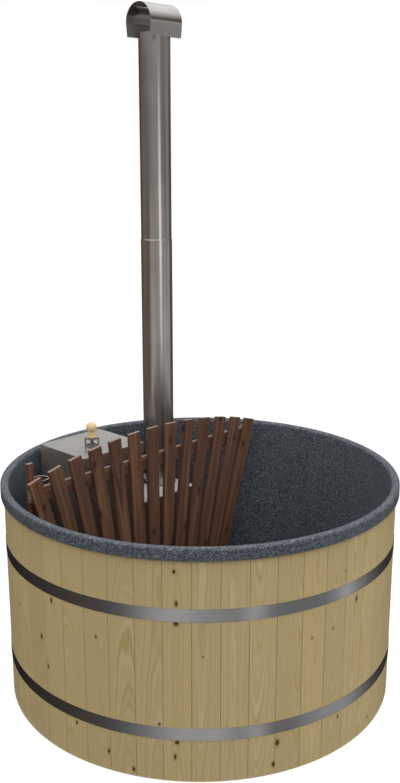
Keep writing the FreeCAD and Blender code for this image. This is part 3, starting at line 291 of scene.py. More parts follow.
# The lying cards' bands: their share of the way from the tub to the upright ones, and their tones.
FLOOR_NEAR = {-170: 0.045, -90: 0.053, -54: 0.085, -42: 0.13, -30: 0.24, -20: 0.37, -10: 0.45,
              10: 0.45, 20: 0.30, 30: 0.46, 40: 0.19, 50: 0.20, 60: 0.29, 74: 0.36, 90: 0.42,
              100: 0.30, 112: 0.19, 130: 0.10, 170: 0.05}
FLOOR_FAR = {-170: 0.045, -90: 0.053, -54: 0.085, -42: 0.13, -30: 0.34, -20: 0.49, -10: 0.49,
             0: 0.37, 10: 0.32, 20: 0.27, 30: 0.52, 40: 0.21, 50: 0.19, 70: 0.17, 80: 0.26,
             90: 0.56, 100: 0.32, 112: 0.17, 130: 0.09, 170: 0.05}
FLOOR_BANDS = [(0.0, FLOOR_NEAR), (0.15, FLOOR_NEAR), (0.3, FLOOR_FAR), (0.8, FLOOR_FAR),
               (1.0, WALL_LOW)]


def by_turn(turns, stops):
    """Values along a card, from stops that are given by their turn."""
    return np.interp(turns, list(stops), list(stops.values()))


def card_colours(turns, tones, left=1.0, right=0.0):
    """Emitted colours along a card: it is nearly neutral, and brown at the sides by their shares."""
    brown = np.maximum(by_turn(turns, BROWN_BY_TURN) * left, by_turn(turns, RIGHT_PART) * right)
    return by_turn(turns, tones)[:, None] * (PALE + (BROWN - PALE) * brown[:, None])


def card_spot(turn, reach):
    """A place on the sweep, by its turn from the eye's side and its distance from the tub's axis."""
    angle = np.radians(LOOK + 180 + np.asarray(turn))
    return np.stack([np.cos(angle), np.sin(angle)], axis=-1) * reach


card_paint, tree = new_material("graded card")
painted = add(tree, "Attribute", attribute_name="tone").outputs["Color"]
glow = add(tree, "Emission", {"Color": painted, "Strength": 1.0})
add(tree, "OutputMaterial", {"Surface": glow.outputs[0]})


def graded_card(name, rows, row_colours):
    """A sheet through rows of points, with a colour at each point, that only metal and gloss see."""
    rows, row_colours = np.asarray(rows), np.asarray(row_colours)
    across, along = rows.shape[:2]
    corners = np.arange(across * along).reshape(across, along)
    quads = np.stack([corners[:-1, :-1], corners[1:, :-1], corners[1:, 1:], corners[:-1, 1:]], axis=2)
    card = new_piece(name, rows.reshape(-1, 3), quads.reshape(-1, 4).tolist(), card_paint)
    solid = np.concatenate([row_colours, np.ones((across, along, 1))], axis=2)
    give(card, "tone", "FLOAT_COLOR", "color", solid)
    for kind in ("camera", "diffuse", "shadow", "transmission", "volume_scatter"):
        setattr(card, "visible_" + kind, False)


turns = np.arange(-180, 181, 1.0)
from_strip = np.abs(turns - STRIP_TURN) / STRIP_HALF
lit = STRIP_TONE * np.clip(2 - from_strip, 0, 1)[:, None] * PALE
feet = card_spot(turns, CARD_REACH)
levels, level_colours = [], []
for height, share, left, right, tones in CARD_BANDS:
    levels.append(np.column_stack([feet, np.full(len(feet), height)]))
    level_colours.append(card_colours(turns, tones, left, right) + lit * share)
graded_card("upright_card", levels, level_colours)

# A hoop's mirror image of the sweep runs outwards at twice the turn of the spot on the hoop.
turns = np.arange(-170, 171, 5.0)
start, heading = card_spot(turns / 2, HOOP_RADIUS), card_spot(turns, 1.0)
along = np.sum(start * heading, axis=1)
length = np.sqrt(along ** 2 + CARD_REACH ** 2 - HOOP_RADIUS ** 2) - along
lift = np.full(len(turns), CARD_LIFT)
lying, lying_colours = [], []
for share, tones in FLOOR_BANDS:
    lying.append(np.column_stack([start + heading * length[:, None] * share, lift]))
    lying_colours.append(card_colours(turns, tones))
graded_card("lying_card", lying, lying_colours)


# ---------------------------------------------------------------- boards of wood
# Sawn boards with eased edges, for the bearers, the benches and the fence. Each knows where in
# its log it was, so that its faces and its ends show the same year rings.

chance = np.random.default_rng(28)
EDGE = 0.003
END_EASE = 0.8
END_STEPS = 4
CORNER_STEPS = 4


def at_both_ends(part):
    """Lengths along the easing of one end, and the same mirrored for the other end."""
    return np.concatenate([part, part[::-1]]) * EDGE * END_EASE


def board(length, width, thickness, mitre=0.0, shear=0.0):
    """A board about its own middle. Its section, a rectangle with round corners, is carried along
    it and shrinks near both ends as a quarter circle does. A mitre slants its ends towards each
    other, a shear slants them both the same way."""
    ease = np.linspace(0, math.pi / 2, END_STEPS)
    inset = at_both_ends(1 - np.sin(ease))
    back = at_both_ends(1 - np.cos(ease))
    side = np.repeat([-1.0, 1.0], END_STEPS)
    turn = np.linspace(0, math.pi / 2, CORNER_STEPS)
    angle = np.concatenate([turn + quarter * math.pi / 2 for quarter in range(4)])
    middle = np.repeat(np.arange(4) * math.pi / 2 + math.pi / 4, CORNER_STEPS)
    corner = EDGE - inset[:, None]
    across = np.sign(np.cos(middle)) * (width / 2 - EDGE) + corner * np.cos(angle)
    through = np.sign(np.sin(middle)) * (thickness / 2 - EDGE) + corner * np.sin(angle)
    along = side[:, None] * (length / 2 - back[:, None] + mitre * across) + shear * across
    points = np.stack([along, across, through], axis=2)
    at_end = np.zeros(along.shape)
    at_end[[0, -1]] = 1.0
    return points.reshape(-1, 3), at_end.ravel()


def board_faces(first):
    """The faces of one board whose points start at a given number."""
    ring = 4 * CORNER_STEPS
    rows, columns = np.meshgrid(np.arange(2 * END_STEPS - 1), np.arange(ring), indexing="ij")
    after = (columns + 1) % ring
    quads = np.stack([rows * ring + columns, rows * ring + after,
                      (rows + 1) * ring + after, (rows + 1) * ring + columns], axis=2).reshape(-1, 4)
    last = (2 * END_STEPS - 1) * ring
    caps = [list(range(first + ring - 1, first - 1, -1)), list(range(first + last, first + last + ring))]
    return (quads + first).tolist() + caps


def heart():
    """Where a board's middle lay in its log: across from the pith and out from it."""
    return chance.uniform(-0.04, 0.04), chance.uniform(0.02, 0.12)


def boards(name, pieces, material, node):
    """One mesh of boards, in the place of a node. Each is its size, its place as an origin and
    three axes, and where its middle lay in the log."""
    points, logs, at_ends, faces = [], [], [], []
    for size, origin, axes, middle in pieces:
        own, at_end = board(*size)
        tilt = chance.normal(0, 0.012, 2)
        log = np.stack([own[:, 1] + middle[0] + tilt[0] * own[:, 0],
                        own[:, 2] + middle[1] + tilt[1] * own[:, 0],
                        own[:, 0] + chance.uniform(0, 40)], axis=1)
        faces += board_faces(sum(len(part) for part in points))
        points.append(np.asarray(origin) + own @ np.asarray(axes))
        logs.append(log)
        at_ends.append(at_end)
    piece = new_piece(name, np.concatenate(points), faces, material)
    piece.data.polygons.foreach_set("use_smooth", np.ones(len(faces), bool))
    give(piece, "log", "FLOAT_VECTOR", "vector", np.concatenate(logs))
    give(piece, "end", "FLOAT", "value", np.concatenate(at_ends))
    weighted = piece.modifiers.new("flat faces", "WEIGHTED_NORMAL")
    weighted.keep_sharp = True
    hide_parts(node)
    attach(piece, "tub")


# The years of a log. A board's place in its log is a vector in metres: across and into the log
# from its pith, and along it. The lines are late wood, the bands groups of years.
WANDER = (9, 9, 1.6)
FIBRE = (700, 700, 9)
BANDS_IN_A_METRE = 95.0
LATE_WOOD_ENDS = 0.88

rings, given, ends = new_group(
    "year rings", {"Log": "Vector", "Ring Width": "Float", "Waviness": "Float"},
    {"Lines": "Float", "Bands": "Float", "Fibres": "Float"})
wander = noise(rings, vector(rings, "MULTIPLY", given["Log"], WANDER))
radius = vector(rings, "LENGTH", vector(rings, "MULTIPLY", given["Log"], (1, 1, 0)))
bend = calc(rings, "MULTIPLY", calc(rings, "SUBTRACT", wander, 0.5), given["Waviness"])
bent = calc(rings, "ADD", radius, bend)
year = calc(rings, "FRACT", calc(rings, "DIVIDE", bent, given["Ring Width"]))
fall = ranged(rings, year, LATE_WOOD_ENDS, 1.0, 1.0, 0.0)
late = calc(rings, "MULTIPLY", calc(rings, "POWER", year, 3.0), fall)
band = add(rings, "TexNoise", {"W": calc(rings, "MULTIPLY", bent, BANDS_IN_A_METRE), "Detail": 2.0},
           noise_dimensions="1D").outputs["Fac"]
fibre = noise(rings, vector(rings, "MULTIPLY", given["Log"], FIBRE), detail=3.0)
feed(rings, ends, {"Lines": late, "Bands": band, "Fibres": fibre})

# One knot: dark in the middle, with a soft ring of stained wood that runs up and down the board.
# The squeeze is one over its half size in each direction.
knot_spot, given, ends = new_group(
    "knot", {"Place": "Vector", "Middle": "Vector", "Squeeze": "Vector"},
    {"Heart": "Float", "Stain": "Float"})
offset = vector(knot_spot, "SUBTRACT", given["Place"], given["Middle"])
reach = vector(knot_spot, "LENGTH", vector(knot_spot, "MULTIPLY", offset, given["Squeeze"]))
core = ranged(knot_spot, reach, 0.75, 1.1, 1.0, 0.0, interpolation_type="SMOOTHSTEP")
halo = ranged(knot_spot, reach, 0.9, 2.6, 1.0, 0.0, interpolation_type="SMOOTHSTEP")
feed(knot_spot, ends, {"Heart": core, "Stain": halo})

# Knots lie one to a cell across and along the log, and sapwood is drawn out along it. Planed wood
# mirrors little.
KNOT_CELLS = (12, 1.6, 1)
KNOT_SQUEEZE = (110, 60, 0)
SAPWOOD_DRAWN = (55, 55, 1.3)
WOOD_GLOSS = {"Specular IOR Level": 0.3}


def wood(name, light, dark, line, end, end_share, ring_width, contrast, roughness,
         sapwood=None, knotty=0.0, painted_top_sheen=0.0):
    """A material for boards with a place in a log. Sapwood shows in streaks, knots here and there, and
    faces that look up are painted towards the end colour, a painted sheen."""
    material, tree = new_material(name)
    log = add(tree, "Attribute", attribute_name="log").outputs["Vector"]
    sawn_end = add(tree, "Attribute", attribute_name="end").outputs["Fac"]
    grain = use_group(tree, rings, {"Log": log, "Ring Width": ring_width, "Waviness": 0.006})
    colour = mixed(tree, ranged(tree, grain["Bands"], 0.35, 0.68), (*light, 1), (*dark, 1))
    streaks = noise(tree, vector(tree, "MULTIPLY", log, SAPWOOD_DRAWN))
    colour = mixed(tree, ranged(tree, streaks, 0.50, 0.66), colour, (*(sapwood or light), 1))
    colour = mixed(tree, calc(tree, "MULTIPLY", grain["Lines"], contrast), colour, (*line, 1))
    fibres = ranged(tree, grain["Fibres"], 0.3, 0.7, 0.84, 1.14)
    colour = mixed(tree, 1.0, colour, fibres, "MULTIPLY")
    if knotty:
        in_log = numbers_of(tree, log)
        on_face = add(tree, "CombineXYZ", {"X": in_log["X"], "Y": in_log["Z"]}).outputs[0]
        in_cells = vector(tree, "MULTIPLY", on_face, KNOT_CELLS)
        cells = add(tree, "TexVoronoi", {"Vector": in_cells, "Scale": 1.0}, voronoi_dimensions="2D")
        middle = vector(tree, "DIVIDE", cells.outputs["Position"], KNOT_CELLS)
        knot = use_group(tree, knot_spot, {"Place": on_face, "Middle": middle, "Squeeze": KNOT_SQUEEZE})
        colour = mixed(tree, calc(tree, "MULTIPLY", knot["Stain"], knotty * 0.6), colour, (*dark, 1))
        colour = mixed(tree, calc(tree, "MULTIPLY", knot["Heart"], knotty), colour, (*line, 1))
    colour = mixed(tree, calc(tree, "MULTIPLY", sawn_end, end_share), colour, (*end, 1))
    # Painted sheen: faces that look up are mixed towards the pale end colour.
    if painted_top_sheen:
        upward = numbers_of(tree, add(tree, "NewGeometry").outputs["Normal"])["Z"]
        colour = mixed(tree, ranged(tree, upward, 0.75, 0.97, 0.0, painted_top_sheen), colour, (*end, 1))
    relief = calc(tree, "MULTIPLY_ADD", grain["Lines"], -0.6, grain["Fibres"])
    rough = calc(tree, "MULTIPLY_ADD", grain["Fibres"], 0.2, roughness - 0.1)
    shade(tree, colour, rough, (0.35, 0.0006, relief), WOOD_GLOSS)
    return material


# ---------------------------------------------------------------- bearers under the tub
# Five square spruce bearers lie on the ground and carry the liner's floor. Each is sawn to the
# length that fits between the staves, and its edges are eased with a plane.

JOIST_WIDTH = 0.06
JOIST_REACH = 0.868
JOIST_ROWS = np.linspace(-0.72, 0.72, 5)

bearer_wood = wood("sawn spruce", light=(0.400, 0.322, 0.178), dark=(0.285, 0.217, 0.098),
                   line=(0.225, 0.150, 0.058), end=(0.30, 0.22, 0.11), end_share=0.5,
                   ring_width=0.0035, contrast=0.5, roughness=0.62)
joists = []
for row in JOIST_ROWS:
    half = math.sqrt(JOIST_REACH ** 2 - (abs(row) + JOIST_WIDTH / 2) ** 2)
    joists.append(((2 * half, JOIST_WIDTH, JOIST_WIDTH), (0, row, JOIST_WIDTH / 2), np.eye(3), heart()))
boards("joist_boards", joists, bearer_wood, "base_joists")


# ---------------------------------------------------------------- staves
# Fifty upright spruce boards, round outside and flat inside, stand side by side with a bead in
# each one's cove. They are planed and lightly oiled; some have knots, and each is its own tone.

STAVE_COUNT = 50
STAVE_TURN = 6.2
STAVE_RADIUS = 0.89
PITCH = 360 / STAVE_COUNT
STAVE_PALE = (0.398, 0.324, 0.184, 1)
STAVE_DEEP = (0.312, 0.240, 0.098, 1)
STAVE_LINE = (0.22, 0.150, 0.05, 1)
STAVE_GOLD = (0.315, 0.245, 0.105, 1)
JOINT_BROWN = (0.20, 0.135, 0.045, 1)
KNOT_STAIN = (0.19, 0.115, 0.032, 1)
KNOT_HEART = (0.024, 0.012, 0.003, 1)
# Where a stave lay in its log, in metres: the spread of its middle aside of the pith, its least
# depth and how much more, the spread of its lean, and how far along the next stave lay. Its second
# random numbers are those of a stave so many further on.
ASIDE_SPREAD = 0.12
LEAST_DEPTH, MORE_DEPTH = 0.032, 0.11
LEAN_SPREAD = 0.09
NEXT_STAVE = 7.0
SECOND_DRAW = 77.3

# Each knot: its turn round the tub, its height, and its half width and half height in millimetres.
KNOTS_IN_FRONT = [
    (218.0, 0.900, 6, 9), (218.5, 0.770, 5, 12), (218.4, 0.686, 9, 9), (182.0, 0.670, 6, 12),
    (177.0, 0.480, 6, 13), (179.5, 0.360, 5, 10), (197.0, 0.580, 4, 7), (190.0, 0.165, 5, 8),
    (200.0, 0.085, 5, 11), (207.0, 0.030, 6, 10), (214.0, 0.250, 5, 6), (218.5, 0.175, 9, 9),
    (218.0, 0.110, 5, 12), (244.5, 0.140, 8, 14), (243.5, 0.045, 6, 12), (270.0, 0.660, 6, 12),
    (264.0, 0.160, 4, 9), (278.5, 0.050, 4, 8), (225.0, 0.550, 3, 4), (254.0, 0.565, 3, 6),
    (261.0, 0.575, 3, 6), (265.0, 0.805, 3, 6), (164.5, 0.550, 4, 8)]
HIDDEN_KNOTS = 18
KNOTS_BEHIND = [(chance.uniform(-45, 130) % 360, chance.uniform(0.05, 0.92), *chance.uniform(3, 9, 2))
                for knot in range(HIDDEN_KNOTS)]


def knots(tree, place, spots):
    """The darkest of many knots: their hearts and their stains."""
    heart_mask, stain_mask = 0.0, 0.0
    for turn, high, half_width, half_height in spots:
        middle = (math.radians(turn) * STAVE_RADIUS, high, 0)
        squeeze = (1000 / half_width, 1000 / half_height, 0)
        made = use_group(tree, knot_spot, {"Place": place, "Middle": middle, "Squeeze": squeeze})
        heart_mask = calc(tree, "MAXIMUM", heart_mask, made["Heart"])
        stain_mask = calc(tree, "MAXIMUM", stain_mask, made["Stain"])
    return heart_mask, stain_mask


def lucky_numbers(tree, number):
    """Three random numbers for each stave, as sockets named Red, Green and Blue."""
    luck = add(tree, "TexWhiteNoise", {"W": number}, noise_dimensions="1D").outputs["Color"]
    return add(tree, "SeparateColor", {0: luck}).outputs


def about_zero(tree, luck, spread):
    """A random number from 0 to 1, moved to lie evenly about zero."""
    return calc(tree, "MULTIPLY", calc(tree, "SUBTRACT", luck, 0.5), spread)


stave_wood, tree = new_material("oiled spruce staves")
spot = numbers_of(tree, own_place(tree))
around = calc(tree, "MULTIPLY", calc(tree, "ARCTAN2", spot["Y"], spot["X"]), 180 / math.pi)
around = calc(tree, "MODULO", calc(tree, "ADD", around, 720.0), 360.0)
from_joint = calc(tree, "MODULO", calc(tree, "ADD", around, 360.0 - STAVE_TURN), 360.0)
staves_on = calc(tree, "DIVIDE", from_joint, PITCH)
number = calc(tree, "FLOOR", staves_on)
share = calc(tree, "FRACT", staves_on)
across = about_zero(tree, share, math.radians(PITCH) * STAVE_RADIUS)
flat_spot = add(tree, "CombineXYZ", {"X": spot["X"], "Y": spot["Y"]}).outputs[0]
behind_face = calc(tree, "SUBTRACT", STAVE_RADIUS, vector(tree, "LENGTH", flat_spot))

# Each stave was sawn from its own place in a log, and leans a little in it.
luck = lucky_numbers(tree, number)
pith_aside = about_zero(tree, luck["Red"], ASIDE_SPREAD)
pith_depth = calc(tree, "MULTIPLY_ADD", luck["Green"], MORE_DEPTH, LEAST_DEPTH)
lean = calc(tree, "MULTIPLY", about_zero(tree, luck["Blue"], LEAN_SPREAD), spot["Z"])
depth = calc(tree, "SUBTRACT", calc(tree, "ADD", pith_depth, lean), behind_face)
side = calc(tree, "ADD", across, pith_aside)
along = calc(tree, "MULTIPLY_ADD", number, NEXT_STAVE, spot["Z"])
log = add(tree, "CombineXYZ", {"X": side, "Y": depth, "Z": along}).outputs[0]
grain = use_group(tree, rings, {"Log": log, "Ring Width": 0.0058, "Waviness": 0.018})

arc = calc(tree, "MULTIPLY", around, math.radians(1) * STAVE_RADIUS)
on_wall = add(tree, "CombineXYZ", {"X": arc, "Y": spot["Z"]}).outputs[0]
hearts, stains = knots(tree, on_wall, KNOTS_IN_FRONT + KNOTS_BEHIND)

luck = lucky_numbers(tree, calc(tree, "ADD", number, SECOND_DRAW))
colour = mixed(tree, ranged(tree, grain["Bands"], 0.30, 0.74), STAVE_PALE, STAVE_DEEP)
colour = mixed(tree, calc(tree, "MULTIPLY", grain["Lines"], 0.075), colour, STAVE_LINE)
fibres = ranged(tree, grain["Fibres"], 0.3, 0.7, 0.935, 1.065)
tone = calc(tree, "MULTIPLY", calc(tree, "MULTIPLY_ADD", luck["Red"], 0.12, 0.885), fibres)
colour = mixed(tree, 1.0, colour, tone, "MULTIPLY")
colour = mixed(tree, calc(tree, "MULTIPLY", luck["Green"], 0.35), colour, STAVE_GOLD)
from_middle = calc(tree, "ABSOLUTE", calc(tree, "SUBTRACT", share, 0.5))
colour = mixed(tree, ranged(tree, from_middle, 0.480, 0.494, 0.0, 0.3), colour, JOINT_BROWN)
colour = mixed(tree, calc(tree, "MULTIPLY", stains, 0.55), colour, KNOT_STAIN)
colour = mixed(tree, calc(tree, "MULTIPLY", hearts, 0.95), colour, KNOT_HEART)
relief = calc(tree, "MULTIPLY_ADD", grain["Lines"], -0.5, grain["Fibres"])
rough = calc(tree, "MULTIPLY_ADD", grain["Fibres"], 0.15, 0.45)
shade(tree, colour, rough, (0.3, 0.0005, relief), WOOD_GLOSS)
clothe(stave_wood, "staves")


# ---------------------------------------------------------------- hoops
# Two bands of brushed stainless sheet hold the staves together. At the far side their ends are
# folded out, and a zinc-plated bolt and nut draw them tight.

# Brushed metal: fine lines that run the way a vector is drawn out, with slow clouds over them.
brushed, given, ends = new_group(
    "brushed metal", {"Place": "Vector", "Brush": "Vector"},
    {"Brush Lines": "Float", "Clouds": "Float"})
brush_lines = noise(brushed, vector(brushed, "MULTIPLY", given["Place"], given["Brush"]), detail=4.0)
clouds = noise(brushed, given["Place"], 5.0)
feed(brushed, ends, {"Brush Lines": brush_lines, "Clouds": clouds})

# The pale colour painted on faces that look up: a painted highlight of the sky.
PAINTED_GLEAM_COLOUR = (0.44, 0.43, 0.42, 1)
# The inside of an arch is darker, in this grey, and less metallic by this share.
ARCH_INSIDE_GREY = (0.31, 0.292, 0.275, 1)
ARCH_INSIDE_DULLING = 0.3
# A grain that is the same in every direction.
UNBRUSHED = (300, 300, 300)


def inside_arch(tree, box):
    """A mask of the faces that look inwards in an arch along X, which fills a given box."""
    low, high = box
    radius = (high.y - low.y) / 2
    outwards = vector(tree, "SUBTRACT", own_place(tree), (0, low.y + radius, high.z - radius))
    outwards = vector(tree, "MAXIMUM", outwards, (0, -1, 0))
    outwards = vector(tree, "MULTIPLY", outwards, (0, 1, 1))
    facing = vector(tree, "DOT_PRODUCT", outwards, add(tree, "NewGeometry").outputs["Normal"])
    return calc(tree, "LESS_THAN", facing, 0.0)


def metal(name, colour, rough, brush, spread, dark_edge=WHITE, metallic=1.0, relief=0.25,
          streak=0.0, painted_top_gleam=0.0, darker_arch_box=None):
    """A brushed or rolled metal; the brush's vector is short along its lines and long across them. Faces
    that look up are painted paler and less metallic, a painted highlight of the bright sky, and the
    inside of an arch in a given box is darker and duller."""
    material, tree = new_material(name)
    finish = use_group(tree, brushed, {"Place": own_place(tree), "Brush": brush})
    lines = ranged(tree, finish["Brush Lines"], 0.3, 0.7, 1 - spread, 1 + spread)
    clouded = ranged(tree, finish["Clouds"], 0.3, 0.7, 0.93, 1.07)
    tone = calc(tree, "MULTIPLY", lines, clouded)
    coloured = mixed(tree, 1.0, (*colour, 1), tone, "MULTIPLY")
    bare = metallic
    # Painted highlight: faces that look up are made paler and less metallic, standing in for the sky
    # they mirror.
    if painted_top_gleam:
        upward = numbers_of(tree, add(tree, "NewGeometry").outputs["Normal"])["Z"]
        painted_gleam = ranged(tree, upward, 0.8, 1.0, 0.0, painted_top_gleam)
        coloured = mixed(tree, painted_gleam, coloured, PAINTED_GLEAM_COLOUR)
        bare = calc(tree, "MULTIPLY", calc(tree, "SUBTRACT", 1.0, painted_gleam), metallic)
    # The faces inside the arch are made darker and duller.
    if darker_arch_box:
        inside = inside_arch(tree, darker_arch_box)
        coloured = mixed(tree, inside, coloured, ARCH_INSIDE_GREY)
        bare = calc(tree, "MULTIPLY_ADD", inside, -ARCH_INSIDE_DULLING, bare)
    roughness = calc(tree, "MULTIPLY_ADD", finish["Brush Lines"], 0.16, rough - 0.08)
    others = {"Metallic": bare, "Specular Tint": dark_edge, "Anisotropic": streak,
              "Anisotropic Rotation": 0.25}
    shade(tree, coloured, roughness, (relief, 0.0003, finish["Brush Lines"]), others)
    return material


hoop_steel = metal("brushed hoop steel", (0.575, 0.580, 0.607), 0.2, (6, 6, 700), spread=0.07,
                   dark_edge=(0.35, 0.3, 0.28, 1), relief=0.12)
zinc_steel = metal("zinc-plated steel", (0.62, 0.62, 0.60), 0.38, UNBRUSHED, spread=0.08)
clothe(hoop_steel, "hoop_lower", "hoop_upper")
clothe(zinc_steel, "hoop_bolts")


# ---------------------------------------------------------------- liner
# One moulded shell of glass-fibre with a granite gelcoat: blue-grey, with fine dark and pale
# flakes. Its rim rolls out over the staves' tops and has a slight sheen.

gelcoat, tree = new_material("granite gelcoat")
place = own_place(tree)
flakes = add(tree, "TexVoronoi", {"Vector": place, "Scale": 265.0}).outputs["Color"]
flakes = add(tree, "SeparateColor", {0: flakes}).outputs["Red"]
fine = noise(tree, place, 300.0)
coarse = noise(tree, place, 90.0)
mask = calc(tree, "MULTIPLY_ADD", calc(tree, "SUBTRACT", fine, 0.5), 0.8, flakes)
mask = calc(tree, "MULTIPLY_ADD", calc(tree, "SUBTRACT", coarse, 0.5), 0.9, mask)
colour = colours(tree, mask, [(0.05, (0.020, 0.024, 0.030)), (0.42, (0.041, 0.049, 0.061)),
                              (0.72, (0.067, 0.078, 0.094)), (1.0, (0.130, 0.143, 0.161))])
rough = calc(tree, "MULTIPLY_ADD", fine, 0.2, 0.34)
shade(tree, colour, rough, (0.2, 0.0005, mask), {"Specular IOR Level": 0.16})
clothe(gelcoat, "liner")


# ---------------------------------------------------------------- drain
# A grey plastic cup under the floor with a rubber washer and a lock nut, a pipe that leads out
# through the staves, and a standpipe that lifts out of the cup to empty the tub.

grey_plastic, tree = new_material("grey drain plastic")
mottle = noise(tree, own_place(tree), 40.0, 3.0)
grit = noise(tree, own_place(tree), 900.0)
colour = colours(tree, mottle, [(0.3, (0.20, 0.205, 0.21)), (0.7, (0.25, 0.255, 0.26))])
shade(tree, colour, calc(tree, "MULTIPLY_ADD", mottle, 0.2, 0.3), (0.15, 0.0002, grit))
clothe(grey_plastic, "drain_cup", "drain_lock_nut", "drain_pipe", "drain_outlet")

# The standpipe, which the bathers lift by its rim, is painted nearly black: partly a dark plastic,
# partly painted shade for its bore. A thin band at its rim is painted pale, a painted highlight.
RIM_HIGHLIGHT_DEPTH = 0.0015
RIM_HIGHLIGHT_PALE = (0.27, 0.265, 0.25, 1)

dark_plastic_and_shade, tree = new_material("standpipe plastic and painted shade")
mottle = noise(tree, own_place(tree), 60.0, 3.0)
# Nearly black: a dark plastic, and painted shade for the bore.
colour = colours(tree, mottle, [(0.3, (0.016, 0.014, 0.012)), (0.7, (0.030, 0.027, 0.024))])
# Painted highlight: a thin band at the top of the rim is pale.
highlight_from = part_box("standpipe")[1].z - RIM_HIGHLIGHT_DEPTH
rim_highlight = calc(tree, "GREATER_THAN", numbers_of(tree, own_place(tree))["Z"], highlight_from)
colour = mixed(tree, rim_highlight, colour, RIM_HIGHLIGHT_PALE)
shade(tree, colour, calc(tree, "MULTIPLY_ADD", mottle, 0.2, 0.4), (0.15, 0.0002, mottle))
clothe(dark_plastic_and_shade, "standpipe")

rubber, tree = new_material("black seal rubber")
dust = noise(tree, own_place(tree), 120.0, 3.0)
colour = colours(tree, dust, [(0.35, (0.012, 0.012, 0.012)), (0.7, (0.028, 0.028, 0.027))])
shade(tree, colour, calc(tree, "MULTIPLY_ADD", dust, 0.2, 0.6), (0.2, 0.0002, dust))
clothe(rubber, "drain_washer")


# ---------------------------------------------------------------- benches
# Three seats of three heat-treated boards meet in mitres round the front. They are screwed to
# four bearers, and each bearer stands on two legs. Long edges are rounded for bare skin.

THERMO = {"light": (0.100, 0.048, 0.030), "dark": (0.046, 0.024, 0.016), "line": (0.022, 0.011, 0.007),
          "sapwood": (0.130, 0.066, 0.035), "end": (0.165, 0.120, 0.099), "end_share": 0.8,
          "ring_width": 0.0045, "contrast": 0.55, "roughness": 0.38, "knotty": 0.9}
thermowood = wood("heat-treated wood", **THERMO)

SEAT_TURNS = {"bench_seat_left": 222, "bench_seat_front": 270, "bench_seat_right": 318}
SEAT_SWEEP = 48
SEAT_ROWS = 3
SEAT_REACH = 0.766
SEAT_TOP = 0.36
SEAT_BOARD = (0.110, 0.028)
SEAT_STEP = 0.118
SEAT_JOINT = 0.004
SEAMS = (198, 246, 294, 342)
BEARER = 0.045
BEARER_HIGH = 0.060
FLOOR = 0.068


def radial_axes(degrees):
    """Along the wall, out from the tub's axis, and up, as three rows."""
    turn = math.radians(degrees)
    outwards = np.array([math.cos(turn), math.sin(turn), 0.0])
    upwards = np.array([0.0, 0.0, 1.0])
    return np.array([np.cross(outwards, upwards), outwards, upwards])


slope = math.tan(math.radians(SEAT_SWEEP / 2))
for node, degrees in SEAT_TURNS.items():
    axes = radial_axes(degrees)
    pieces = []
    for row in range(SEAT_ROWS):
        middle = SEAT_REACH - SEAT_BOARD[0] / 2 - row * SEAT_STEP
        length = 2 * (middle * slope - SEAT_JOINT)
        origin = axes[1] * middle + axes[2] * (SEAT_TOP - SEAT_BOARD[1] / 2)
        pieces.append(((length, *SEAT_BOARD, slope), origin, axes, heart()))
    boards(node + "_boards", pieces, thermowood, node)

inner = SEAT_REACH - SEAT_ROWS * SEAT_STEP
outer = SEAT_REACH + BEARER / 2
inset = math.degrees(BEARER / 2 / (SEAT_REACH - 2 * SEAT_BOARD[0]))
bearer_low = SEAT_TOP - SEAT_BOARD[1] - BEARER_HIGH
bearers, legs = [], []
for degrees in (SEAMS[0] + inset, SEAMS[1], SEAMS[2], SEAMS[3] - inset):
    aside, outwards, upwards = radial_axes(degrees)
    lying = np.array([outwards, -aside, upwards])
    middle = outwards * (inner + outer) / 2 + upwards * (bearer_low + BEARER_HIGH / 2)
    bearers.append(((outer - inner, BEARER, BEARER_HIGH), middle, lying, heart()))
    standing = np.array([upwards, outwards, aside])
    for start in (inner + BEARER, outer - 2 * BEARER):
        middle = outwards * (start + BEARER / 2) + upwards * (FLOOR + bearer_low) / 2
        legs.append(((bearer_low - FLOOR, BEARER, BEARER), middle, standing, heart()))
boards("bench_bearer_boards", bearers, thermowood, "bench_bearers")
boards("bench_leg_boards", legs, thermowood, "bench_legs")

bronze_steel = metal("brown-coated screws", (0.12, 0.072, 0.050), 0.45, UNBRUSHED, spread=0.1,
                     metallic=0.7)
clothe(bronze_steel, "bench_screws")


# ---------------------------------------------------------------- stove
# A welded vessel of brushed stainless sheet stands in the water: a low firebox, a chute for the
# wood at its left, and inside it a baffle for air and a cast-iron grate over the ash.

# Its tops are painted paler and less metallic: a painted highlight.
stove_steel = metal("brushed stove steel", (0.53, 0.465, 0.415), 0.28, (600, 600, 12), spread=0.08,
                    relief=0.15, metallic=0.93, painted_top_gleam=0.75)
clothe(stove_steel, "stove_body", "stove_feet", "air_baffle")
clothe(zinc_steel, "stove_bolts")

grate_iron, tree = new_material("cast iron grate")
sand = noise(tree, own_place(tree), 350.0, 4.0)
rust = noise(tree, own_place(tree), 22.0, 3.0)
colour = colours(tree, rust, [(0.4, (0.030, 0.028, 0.027)), (0.7, (0.075, 0.040, 0.024))])
shade(tree, colour, calc(tree, "MULTIPLY_ADD", sand, 0.3, 0.5), (0.5, 0.0008, sand), {"Metallic": 0.6})
clothe(grate_iron, "fire_grate")


# ---------------------------------------------------------------- fence
# Thirteen heat-treated slats fan out upwards in front of the stove. Each is screwed to two level rails,
# and the rails to two posts that stand on the tub's floor. Their faces that look up are painted paler, a
# painted sheen.

SLAT_COUNT = 13
SLAT = (0.874, 0.070, 0.018)
SLAT_FRONT = 0.310
SLAT_TOP = 1.139
SLAT_FALL = 0.0965
FAN_CENTRE = -1.282
FAN_RISE = 2.250
FAN_REACH = 0.6774
LEVEL = np.array([[1, 0, 0], [0, 0, 1], [0, -1, 0]])

# The fence's wood, whose faces that look up get a painted sheen.
fence_wood = wood("fence wood with painted top sheen", **THERMO, painted_top_sheen=0.65)


